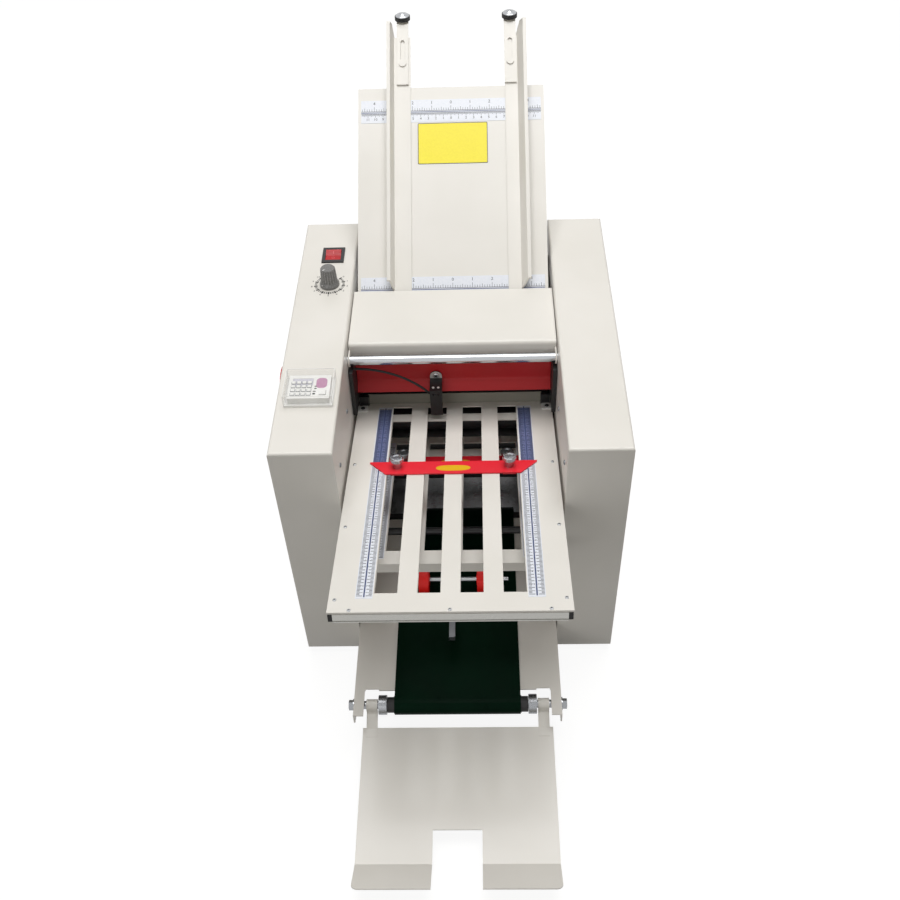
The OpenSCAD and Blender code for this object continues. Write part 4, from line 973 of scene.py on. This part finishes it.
@dataclass
class PlateRulers:
    """The two double-column centimetre scales of one fold plate."""

    label: str
    matrix: Matrix
    start: float
    length: int
    # Where the painted shade on the scale's rear begins; none when zero.
    shaded: float = 0.0
    inner: float = 79.75
    width: float = 18.0

    def build(self) -> None:
        """Prints both columns on the left and the right scale."""
        ruler = Ruler(self.matrix)
        for side, sign in (("left", -1), ("right", 1)):
            low = min(sign * self.inner, sign * (self.inner + self.width))
            high = low + self.width
            mid = (low + high) / 2
            name = f"{self.label}_{side}"
            ruler.band(f"{name}_band", mid - 0.8, self.start - 2, mid + 0.8,
                       self.start + self.length + 2, Finish.BLUE_BAND)
            # The rear of each scale is printed darker and bluer as painted shade, where the plate
            # lies in shade.
            if self.shaded:
                ruler.band(f"{name}_shade", low + 1.2, self.shaded, high - 1.2,
                           self.start + self.length - 1, Finish.REAR_FILM, -0.05)
            # The real marks are 1 mm apart, too fine to show here: 2 mm shows their rhythm.
            for column, x, length in (("a", low + 0.9, -3.3), ("b", high - 0.9, 3.3)):
                ruler.row(f"{name}_marks_{column}", (x, self.start), 90, self.length // 2 + 1,
                          2.0, length, 5.0, 0.8)
            words = []
            for cm in range(0, self.length // 10):
                y = self.start + 5 + 10 * cm
                words += [(str(cm + 1), mid - 3.2, y), (str(cm + 1), mid + 3.2, y)]
            ruler.figures(f"{name}_figures", words, 4.9, 90)


# ---------------------------------------------------------------- sub-assemblies


@dataclass
class FoldPlates:
    """The two front fold plates with their scales, screws and stop labels."""

    upper: Matrix
    lower: Matrix
    edge_screw_x: float = 118.6
    edge_screw_s: tuple[float, ...] = (254.0, 136.0, 18.5)
    front_screw_x: tuple[float, ...] = (-102.5, 0.0, 102.3)
    lower_screw_x: float = 117.5
    lower_screw_s: tuple[float, ...] = (20.0, 110.0, 190.0)
    rail_half: float = 119.5
    rail_end_x: float = 121.9
    clamp_x: float = 66.75
    oval_half: tuple[float, float] = (20.5, 5.4)
    upper_stop_s: float = 241.6
    lower_stop_s: float = 202.6
    lower_clamp_s: float = 206.5
    # Depth and height of the nips that feed the rear plates.
    rear_nip_a: tuple[float, float] = (237.47, 223.85)
    rear_nip_b: tuple[float, float] = (218.38, 162.36)

    def screws(self, fasteners: Fasteners) -> None:
        """Sets the small screws along the upper plate's edges.

        Args:
            fasteners: The screw maker.
        """
        points = [(sx * self.edge_screw_x, s, 0.0) for sx in (-1, 1) for s in self.edge_screw_s]
        points += [(x, 3.0, 0.0) for x in self.front_screw_x]
        fasteners.place("upper_plate_screws", points, self.upper, (UPPER_TILT, 0), scale=0.8)
        low = [(sx * self.lower_screw_x, s, 0.0) for sx in (-1, 1) for s in self.lower_screw_s]
        fasteners.place("lower_plate_screws", low, self.lower, (LOWER_TILT, 0), scale=0.8,
                        seed=9)

    def front_rail(self) -> None:
        """Makes the bright rail that closes the upper plate's front end, with painted shade at its
        two ends.
        """
        rail = bmesh.new()
        w = self.rail_half
        for front, z0, z1 in ((-0.9, -12.0, -2.2), (-1.7, -12.4, -11.2)):
            slab([(-w, front), (w, front), (w, 0.05), (-w, 0.05)], z0, z1, rail)
        fitted("upper_plate_rail", rail, Finish.RAIL, self.upper)
        # The rail's two ends are dark sheets of painted shade.
        ends = bmesh.new()
        for sx in (-1, 1):
            slab(rounded(4.6, 1.0, 0.3, sx * self.rail_end_x, -0.42), -11.6, -2.4, ends)
        fitted("upper_plate_rail_ends", ends, Finish.SHADOW, self.upper)

    def thumbscrews(self) -> None:
        """Plates the heads of the screws that clamp the lower and the rear stops."""
        profile = [(0, -0.15), (5.2, -0.15), (5.2, 3.0), (7.2, 7.9), (8.2, 8.9), (8.2, 13.1),
                   (7.2, 14.2), (4.9, 14.2), (3.9, 13.2), (0, 13.2)]
        for name, place, body in (
                ("lower_stop_heads",
                 self.lower @ Matrix.Translation((0, self.lower_clamp_s, 2.3)), "lower_stop_body"),
                ("rear_stop_heads_a", self.rear(*self.rear_nip_a), "rear_stop_a"),
                ("rear_stop_heads_b", self.rear(*self.rear_nip_b), "rear_stop_b")):
            heads = bmesh.new()
            for sx in (-1, 1):
                one = spun(profile, 36)
                one.transform(Matrix.Translation((sx * self.clamp_x, 0, 0)))
                mesh = bpy.data.meshes.new("head")
                one.to_mesh(mesh)
                one.free()
                heads.from_mesh(mesh)
            fitted(name, heads, Finish.DULL_ZINC, place, body)

    @staticmethod
    def rear(y: float, z: float) -> Matrix:
        """Returns the place of a rear stop's screws.

        Args:
            y: Depth of the nip that feeds the rear plate.
            z: Height of that nip.
        """
        return PLACE.slope(y, z, REAR_TILT) @ Matrix.Translation((0, REAR_STOP_S, REAR_STOP_LIFT))

    def stop_labels(self) -> None:
        """Lays the plain ovals on the stop bars."""
        long, short = self.oval_half
        for name, middle, matrix, body in (
                ("upper_stop_oval", self.upper_stop_s, self.upper, "upper_stop"),
                ("lower_stop_oval", self.lower_stop_s, self.lower, "lower_stop_body")):
            outline = []
            for i in range(48):
                c, t = math.cos(math.tau * i / 48), math.sin(math.tau * i / 48)
                outline.append((math.copysign(long * abs(c) ** 0.6, c), middle + short * t))
            fitted(name, slab(outline, 2.05, 2.3), Finish.OVAL, matrix, body)

    def build(self, fasteners: Fasteners) -> None:
        """Makes every printed and fastened piece of the plates.

        Args:
            fasteners: The screw maker.
        """
        PlateRulers("upper_scale", self.upper, 24.0, 350, 252.0).build()
        PlateRulers("lower_scale", self.lower, 12.0, 230).build()
        self.screws(fasteners)
        self.stop_labels()
        self.front_rail()
        self.thumbscrews()


@dataclass
class FeedTable:
    """Scales and sticker of the sloping feed table."""

    matrix: Matrix
    sticker: tuple[float, float, float, float] = (-44.0, -107.0, 48.0, -50.0)
    film: float = 31.5
    half_width: float = 119.0

    def scale(self, name: str, high: float, low: float) -> None:
        """Prints an inch row over a centimetre row, both with zero at the middle.

        Args:
            name: Name stem of the pieces.
            high: Upper edge of the film.
            low: Lowest place that stays in view.
        """
        ruler = Ruler(self.matrix)
        span = self.film
        inch_line, cm_line = high - 0.49 * span, high - 0.60 * span
        for side, turn, sign in (("right", 0, 1), ("left", 180, -1)):
            ruler.row(f"{name}_inch_{side}", (0, inch_line), turn, 38, 25.4 / 8,
                      sign * span * 0.11, 8.0, 0.42)
            if cm_line - 0.15 * span > low:
                ruler.row(f"{name}_cm_{side}", (0, cm_line), turn, 119, 1.0,
                          -sign * span * 0.08, 10.0, 0.4)
        w = self.half_width
        for k, (y, half, ink) in enumerate((
                (inch_line, 0.3, Finish.INK), (cm_line, 0.3, Finish.INK),
                ((inch_line + cm_line) / 2, 0.5, Finish.BLUE_BAND))):
            ruler.band(f"{name}_line_{k}", -w, y - half, w, y + half, ink)
        inch = [(str(abs(i)), 25.4 * i, high - 0.14 * span) for i in range(-4, 5)]
        ruler.figures(f"{name}_inch_figures", inch, span * 0.19, 0)
        if high - 0.92 * span > low:
            cm = [(str(abs(i)), 10.0 * i, high - 0.84 * span) for i in range(-11, 12)]
            ruler.figures(f"{name}_cm_figures", cm, span * 0.16, 0)

    def label(self) -> None:
        """Lays the plain yellow sticker with its dark outline."""
        x0, y0, x1, y1 = self.sticker
        cx, cy = (x0 + x1) / 2, (y0 + y1) / 2
        for name, inset, radius, top, ink in (
                ("sticker_outline", 0.0, 1.5, 0.2, Finish.BLACK_INK),
                ("sticker_face", 1.8, 1.0, 0.26, Finish.LABEL)):
            sheet = slab(rounded(x1 - x0 - inset, y1 - y0 - inset, radius, cx, cy), 0.02, top)
            fitted(name, sheet, ink, self.matrix)

    def build(self) -> None:
        """Makes the table's printed pieces."""
        self.scale("top_scale", -17.0, -48.5)
        self.scale("bottom_scale", -260.0, -280.0)
        self.label()


@dataclass
class HandWheel:
    """The ribbed grip ring on the red wheel that turns the rollers by hand."""

    near: float = -210.5
    far: float = -224.6
    inner: float = 21.0
    outer: float = 28.6
    ribs: int = 24

    def build(self) -> None:
        """Makes the ring and seats it round the wheel's rim."""
        low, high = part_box("hand_wheel")
        hub = Vector((PLACE.matrix().translation.x, (low[1] + high[1]) / 2,
                      (low[2] + high[2]) / 2))
        steps = self.ribs * 4
        rings = []
        bm = bmesh.new()
        for i in range(steps):
            a = math.tau * i / steps
            tip = self.outer - (0.9 if i % 4 == 0 else 0.0)
            section = [(self.inner, self.near), (tip - 2.0, self.near), (tip, self.near - 2.0),
                       (tip, self.far + 2.5), (tip - 2.5, self.far), (self.inner, self.far)]
            rings.append([bm.verts.new((x, r * math.cos(a), r * math.sin(a)))
                          for r, x in section])
        for i in range(steps):
            a, b = rings[i], rings[(i + 1) % steps]
            for k in range(len(a)):
                m = (k + 1) % len(a)
                bm.faces.new((a[k], a[m], b[m], b[k]))
        place = Matrix.Translation(hub) @ Matrix.Scale(MM, 4)
        fitted("wheel_grip", bm, Finish.RED, place, "roller_1")


@dataclass
class Controls:
    """Print and small parts on top of the left housing."""

    top: float = 380.0
    knob: tuple[float, float] = (-157.3, 302.0)
    knob_height: float = 26.0
    switch: tuple[float, float] = (-157.8, 364.5)
    counter: tuple[float, float] = (-161.5, 97.5)
    lid_depth: float = 47.0

    def dial(self) -> None:
        """Prints the marks and figures round the speed knob."""
        kx, ky = self.knob
        z = self.top + 0.04
        for name, count, step, radius, length, width in (
                ("dial_marks", 31, 9, 17.8, 3.0, 1.35),
                ("dial_long_marks", 11, 27, 17.9, 4.4, 2.1)):
            marks = DIAL_MARKS.bake(name, Finish.BLACK_INK, Count=count, Step=math.radians(step),
                                    Start=math.radians(135), Radius=radius, Length=length,
                                    Width=width, Place=(kx, ky, z))
            marks.data.transform(PLACE.matrix())
            dressed(marks)
        words = []
        for i in range(11):
            a = math.radians(45 - 27 * i)
            words.append((str(i), kx + 23.0 * math.cos(a), ky + 23.0 * math.sin(a)))
        verts, faces = text_mesh(words, 4.4)
        flat = [(v.x, v.y, z) for v in verts]
        printed("dial_figures", flat, faces, Finish.BLACK_INK, PLACE.matrix())

    def knob_ribs(self) -> None:
        """Raises the lighter grey ribs between the knob's flutes."""
        kx, ky = self.knob
        low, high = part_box("speed_knob")
        r = (high[0] - low[0]) / 2 / MM
        h = self.knob_height
        bm = bmesh.new()
        for i in range(18):
            turn = turned(20 * i + 10, "Z")
            corners = []
            for z, reach in ((7.2, r - 2.35), (h - 1.2, r - 3.4)):
                for depth, side in ((-0.5, -0.75), (0.38, -0.45), (0.38, 0.45), (-0.5, 0.75)):
                    corners.append(bm.verts.new(turn @ Vector((reach + depth, side, z))))
            a, b = corners[:4], corners[4:]
            bm.faces.new(a[::-1])
            bm.faces.new(b)
            for k in range(4):
                bm.faces.new((a[k], a[(k + 1) % 4], b[(k + 1) % 4], b[k]))
        place = PLACE.at(kx, ky, self.top + 0.3)
        fitted("knob_ribs", bm, Finish.WORN_RIB, place, "knob")

    def knob_index(self) -> None:
        """Sets the white index line on the knob's skirt and top."""
        kx, ky = self.knob
        seat = PLACE.at(kx, ky, self.top + 0.3) @ turned(225, "Z")
        bm = slab([(5.0, -0.5), (8.2, -0.5), (8.2, 0.5), (5.0, 0.5)], 25.9, 26.1)
        slab([(10.2, -0.9), (12.0, -0.9), (12.0, 0.9), (10.2, 0.9)], 2.8, 4.6, bm)
        fitted("knob_index", bm, Finish.WHITE_INK, seat, "knob")

    def rocker_marks(self) -> None:
        """Prints the stroke and the ring on the rocker."""
        sx, sy = self.switch
        face = PLACE.at(sx, sy, self.top - 5) @ turned(8, "X")
        front, rear = (face @ Matrix.Translation((0, side * 5.0, 6.95)) @ turned(side * 8.1, "X")
                       for side in (-1, 1))
        ring = bmesh.new()
        count = 28
        for i in range(count):
            a0, a1 = math.tau * i / count, math.tau * (i + 1) / count
            slab([(r * math.cos(a), r * math.sin(a))
                  for r, a in ((1.3, a0), (2.0, a0), (2.0, a1), (1.3, a1))], -0.1, 0.08, ring)
        stroke = slab(rounded(0.8, 4.2, 0.35), -0.1, 0.08)
        for name, bm, place in (("rocker_off_mark", ring, front), ("rocker_on_mark", stroke, rear)):
            fitted(name, bm, Finish.FAINT_INK, place, "rocker_body")

    def counter_face(self) -> None:
        """Makes the display, the key grid and the printed field of the counter."""
        cx, cy = self.counter
        glass = slab(rounded(23.4, 11.4, 0.6, -8.0, 8.0), -0.9, -0.05)
        keys, rims = bmesh.new(), bmesh.new()
        for row in range(4):
            for col in range(4):
                spot = (-18.5 + 6.2 * col, -12.5 + 6.4 * row)
                slab(rounded(5.4, 5.0, 0.8, *spot), -0.1, 0.25, rims)
                slab(rounded(4.3, 3.9, 0.6, *spot), -0.1, 0.9, keys)
        patch = slab(rounded(12.5, 17.0, 5.0, 13.8, 6.0), -0.05, 0.15)
        marks = bmesh.new()
        for x, y, w, h in ((7.4, 0.5, 2.6, 1.4), (7.4, -3.2, 2.6, 1.4), (6.2, -12.0, 3.0, 2.2),
                           (6.4, -8.0, 3.2, 1.3)):
            slab(rounded(w, h, 0.4, x, y), -0.05, 0.2, marks)
        for name, bm, finish in (
                ("counter_display", glass, Finish.DISPLAY), ("counter_keys", keys, Finish.WHITE),
                ("counter_key_rims", rims, Finish.GREY_INK),
                ("counter_print", patch, Finish.PINK), ("counter_marks", marks, Finish.BLACK_INK)):
            fitted(name, bm, finish, PLACE.at(cx, cy, self.top + 10))

    def lid_edges(self) -> None:
        """Lays white strips along the clear lid's moulded edges as a painted highlight."""
        low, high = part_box("counter_lid")
        spans = ((high[0] - low[0]) / MM, self.lid_depth, (high[2] - low[2]) / MM)
        t, proud = 0.5, 0.05
        bm = bmesh.new()
        for axis in range(3):
            for corner in range(4):
                sides, box = corner, []
                for i, span in enumerate(spans):
                    if i == axis:
                        cut = t + 0.02 if axis else -proud
                        box.append((cut, span - cut))
                    else:
                        box.append((span - t, span + proud) if sides & 1 else (-proud, t))
                        sides >>= 1
                (x0, x1), (y0, y1), (z0, z1) = box
                slab([(x0, y0), (x1, y0), (x1, y1), (x0, y1)], z0, z1, bm)
        place = Matrix.Translation(low) @ Matrix.Scale(MM, 4)
        fitted("counter_lid_edges", bm, Finish.WHITE, place, "lid")

    def build(self) -> None:
        """Makes every piece of the control panel."""
        self.lid_edges()
        self.dial()
        self.knob_index()
        self.knob_ribs()
        self.rocker_marks()
        self.counter_face()


@dataclass
class Mouth:
    """The mouth's end blocks and tabs, the sheet sensor with its cable, and the wall screws."""

    upper: Matrix
    mouth_s: float = 388.0
    block_x: float = 111.0
    tab_x: float = 118.4
    tab_s: float = 375.5
    sensor_x: float = -22.25
    guard_y: float = 206.0
    bracket_base: float = 304.18
    bracket_top: float = 315.18
    bracket_w: float = 15.0
    cable_ends: tuple[float, float] = (-122.2, -30.05)
    cable_top: float = 338.18
    cable_rise: float = 43.0
    cable_d: float = 3.0
    walls: dict[str, list[tuple[float, float, float]]] = field(default_factory=lambda: {
        "left": [(-128.0, 127.4, 321.7), (-128.0, 34.2, 326.0)],
        "right": [(128.0, 131.5, 316.2), (128.0, 28.7, 330.8)]})

    def screws(self, fasteners: Fasteners) -> None:
        """Sets the screws of the inner walls and of the tabs.

        Args:
            fasteners: The screw maker.
        """
        for side, points in self.walls.items():
            inwards = 90 if side == "left" else -90
            fasteners.place(f"{side}_wall_screws", points, PLACE.matrix(), (0, inwards),
                            Finish.DULL_ZINC, 1.1, 3)
        fasteners.place("tab_screws", [(sx * self.tab_x, self.tab_s, 1.4) for sx in (-1, 1)],
                        self.upper, (UPPER_TILT, 0), Finish.BLACK, 1.05, 5)

    def ends(self) -> None:
        """Makes the black end blocks and the pale tabs in front of them."""
        blocks, tabs = bmesh.new(), bmesh.new()
        for sx in (-1, 1):
            slab(rounded(12.3, 6.8, 0.8, sx * (self.block_x + 6), self.mouth_s - 1.75), 0.05, 13.7,
                 blocks)
            slab(rounded(13.0, 13.5, 1.2, sx * self.tab_x, self.tab_s), 0.05, 1.4, tabs)
        fitted("mouth_end_blocks", blocks, Finish.BLACK, self.upper)
        fitted("mouth_tabs", tabs, Finish.WHITE, self.upper)

    def sensor(self, fasteners: Fasteners) -> None:
        """Dresses the sensor: plated bracket, screw and two windows.

        Args:
            fasteners: The screw maker.
        """
        w, half = self.bracket_w, self.bracket_w / 2
        low, middle = self.bracket_base, self.bracket_top - self.bracket_w / 2
        outline = [(-half, low), (half, low)] + [
            (half * math.cos(math.radians(a)), middle + half * math.sin(math.radians(a)))
            for a in range(0, 181, 12)]
        upright = PLACE.at(self.sensor_x, self.guard_y - 1.8, 0) @ turned(90, "X")
        fitted("sensor_bracket", slab(outline, 0.0, 0.35), Finish.BRACKET, upright)
        shelf = PLACE.at(self.sensor_x, self.guard_y - 13.6, 0)
        fitted("sensor_shelf", slab(rounded(w + 0.5, 24.8, 0.5), low - 1.7, low + 0.3),
               Finish.BLACK, shelf)
        eyes = bmesh.new()
        for x in (-3.2, 3.2):
            slab(rounded(3.2, 3.2, 1.59, x, -6.5), low + 0.2, low + 0.7, eyes)
        fitted("sensor_windows", eyes, Finish.WHITE, shelf)
        fasteners.place("sensor_screw", [(self.sensor_x, self.guard_y - 2.15, low + 5.2)],
                        PLACE.matrix(), (90, 0), scale=1.5, seed=11)

    def cable(self) -> None:
        """Runs the sensor's cable in its one bend to the left frame."""
        x1, x0 = self.cable_ends
        run = x0 - x1
        radius = (run ** 2 + self.cable_rise ** 2) / (2 * self.cable_rise)
        angle = math.asin(run / radius)
        y = self.guard_y - 20.3
        count = 40
        points = []
        for i in range(count + 1):
            a = angle * (1 - i / count)
            points.append(PLACE.matrix() @ Vector((
                x1 + radius * math.sin(a), y, self.cable_top - radius + radius * math.cos(a))))
        curve = bpy.data.curves.new("sensor_cable_run", "CURVE")
        curve.dimensions = "3D"
        curve.bevel_depth = self.cable_d / 2 * MM
        curve.bevel_resolution = 4
        curve.use_fill_caps = True
        line = curve.splines.new("POLY")
        line.points.add(count)
        for spot, place in zip(line.points, points):
            spot.co = (*place, 1.0)
        curve.materials.append(Finish.RUBBER.material())
        piece = shown("sensor_cable_run", curve)
        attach(piece, "machine")
        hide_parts("sensor_cable")

    def build(self, fasteners: Fasteners) -> None:
        """Makes every piece of the mouth.

        Args:
            fasteners: The screw maker.
        """
        self.ends()
        self.sensor(fasteners)
        self.cable()
        self.screws(fasteners)


@dataclass
class PullKnobs:
    """Knurled nuts over the pull knobs at the upper ends of the side guides."""

    feed: Matrix
    places: dict[str, float] = field(default_factory=lambda: {"ext_l": -63.5, "ext_r": 79.75})
    tip: float = 88.0
    lift: float = 2.4
    radius: float = 9.9
    flutes: int = 30

    def build(self) -> None:
        """Makes the fluted rim and the polished cap of each nut."""
        for body, x in self.places.items():
            place = self.feed @ Matrix.Translation((x, self.tip, self.lift)) @ \
                turned(-FEED_TILT, "X") @ Matrix.Translation((0, 8.0, 1.5))
            rim = []
            for i in range(self.flutes * 4):
                r = self.radius + (0.35 if i % 4 < 2 else -0.15)
                a = math.tau * i / (self.flutes * 4)
                rim.append((r * math.cos(a), r * math.sin(a)))
            fitted(f"{body}_nut_rim", slab(rim, 3.0, 8.2), Finish.BLACK, place,
                   body)
            cap = spun([(0, 8.0), (9.2, 8.0), (9.2, 8.9), (8.2, 9.7), (6.5, 10.2), (3.2, 10.4),
                        (3.0, 11.2), (0, 11.4)], 40)
            fitted(f"{body}_nut_cap", cap, Finish.CHROME, place, body, True)


# ---------------------------------------------------------------- studio


def seen_plain(tree: bpy.types.NodeTree) -> bpy.types.NodeSocket:
    """Returns 1 for rays that should see the plain background.

    Args:
        tree: Tree of the floor or the world.
    """
    path = add_node(tree, "ShaderNodeLightPath").outputs
    first = calc(tree, "MAXIMUM", path["Is Camera Ray"], path["Is Glossy Ray"])
    return calc(tree, "MAXIMUM", first, path["Is Transmission Ray"])


@dataclass(frozen=True)
class MattFloor(Skin):
    """Pale floor paper: matt grey in light, and plain pale to the eye and in reflections."""

    name: str = "studio_floor"
    shade: str = "#747473"
    level: float = 0.9

    def surface(self, tree: bpy.types.NodeTree) -> bpy.types.NodeSocket:
        """Returns the socket of the whole surface, see Skin."""
        matt = add_node(tree, "ShaderNodeBsdfDiffuse", {"Color": srgb(self.shade)})
        glow = add_node(tree, "ShaderNodeEmission", {
            "Color": srgb("#FFFFFF"),
            "Strength": calc(tree, "MULTIPLY", seen_plain(tree), self.level)})
        return add_node(tree, "ShaderNodeAddShader", {
            0: matt.outputs[0], 1: glow.outputs[0]}).outputs[0]


@dataclass
class Studio:
    """Camera, floor, surround and lamps."""

    eye: tuple[float, float, float] = (35.435667, -810.713155, 1214.695464)
    pitch: float = 0.797706
    yaw: float = 0.043566
    roll: float = 0.046225
    focal_px: float = 1076.753313
    picture_px: float = 900.0
    sensor_mm: float = 36.0
    floor_half: float = 6.0
    # Each soft box: where it hangs, what it points at (metres), its side and its power.
    lamps: dict[str, tuple] = field(default_factory=lambda: {
        "soft_box_top": ((0.15, 0.5, 3.45), (0.0, -0.1, 0.2), 2.2, 84.0),
        "soft_box_front": ((-1.2, -2.2, 1.3), (0.0, -0.3, 0.1), 1.4, 10.0)})

    def camera(self) -> None:
        """Sets the camera that the photograph's rulers and edges were fitted with."""
        cy, sy = math.cos(self.yaw), math.sin(self.yaw)
        ahead = Vector((-sy, cy, 0))
        up = Vector((0, 0, 1))
        sight = ahead * math.cos(self.pitch) - up * math.sin(self.pitch)
        down = -(ahead * math.sin(self.pitch) + up * math.cos(self.pitch))
        right = Vector((cy, sy, 0))
        cr, sr = math.cos(self.roll), math.sin(self.roll)
        x_axis = cr * right + sr * down
        y_axis = sr * right - cr * down
        data = bpy.data.cameras.new("camera")
        data.sensor_width = self.sensor_mm
        data.lens = self.focal_px / self.picture_px * self.sensor_mm
        data.clip_start, data.clip_end = 0.05, 30.0
        camera = shown("camera", data)
        turn = Matrix((x_axis, y_axis, -sight)).transposed().to_4x4()
        camera.matrix_world = Matrix.Translation(PLACE.matrix() @ Vector(self.eye)) @ turn
        bpy.context.scene.camera = camera

    def floor(self) -> None:
        """Lays a plain pale floor that still takes the machine's shadow."""
        s = self.floor_half
        mesh = bpy.data.meshes.new("studio_floor")
        mesh.from_pydata([(-s, -s, 0), (s, -s, 0), (s, s, 0), (-s, s, 0)], [], [(0, 1, 2, 3)])
        mesh.materials.append(MattFloor().build())
        shown("studio_floor", mesh)

    def world(self) -> None:
        """Sets a soft even surround."""
        world = bpy.data.worlds.new("studio_world")
        world.use_nodes = True
        tree = world.node_tree
        tree.nodes.clear()
        soft = add_node(tree, "ShaderNodeBackground", {"Color": srgb("#F6F2EA"), "Strength": 0.29})
        white = add_node(tree, "ShaderNodeBackground", {"Color": srgb("#FFFFFF"), "Strength": 1.0})
        mixed = add_node(tree, "ShaderNodeMixShader", {
            0: seen_plain(tree), 1: soft.outputs[0], 2: white.outputs[0]})
        add_node(tree, "ShaderNodeOutputWorld", {0: mixed.outputs[0]})
        bpy.context.scene.world = world

    def lamp(self, name: str, place: tuple[float, float, float], aim: tuple[float, float, float],
             size: float, watts: float) -> None:
        """Hangs one soft box.

        Args:
            name: Name of the lamp.
            place: Where it hangs, in metres.
            aim: What it points at.
            size: Side of the box.
            watts: Its power.
        """
        data = bpy.data.lights.new(name, "AREA")
        data.shape, data.size, data.energy = "SQUARE", size, watts
        lamp = shown(name, data)
        lamp.location = place
        lamp.rotation_euler = (Vector(aim) - Vector(place)).to_track_quat("-Z", "Y").to_euler()

    def build(self) -> None:
        """Sets up the whole studio."""
        self.camera()
        self.floor()
        self.world()
        for name, values in self.lamps.items():
            self.lamp(name, *values)
        bpy.context.scene.view_settings.view_transform = "Standard"


def paint_nodes() -> None:
    """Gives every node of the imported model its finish."""
    for name, finish in NODE_FINISH.items():
        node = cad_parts.get(name)
        if node is None:
            LOG.warning("no node %s", name)
            continue
        node.data.materials.clear()
        node.data.materials.append(finish.material())


def main() -> None:
    """Builds the studio, the finishes and every added piece."""
    logging.basicConfig(level=logging.INFO, format="%(name)s: %(message)s")
    Studio().build()
    paint_nodes()
    fasteners = Fasteners()
    upper = PLACE.slope(*UPPER_ORIGIN, UPPER_TILT)
    lower = PLACE.slope(*LOWER_ORIGIN, LOWER_TILT)
    feed = PLACE.slope(*FEED_ORIGIN, FEED_TILT)
    FoldPlates(upper, lower).build(fasteners)
    FeedTable(feed).build()
    PullKnobs(feed).build()
    HandWheel().build()
    Controls().build()
    Mouth(upper).build(fasteners)


if __name__ == "__main__":
    main()
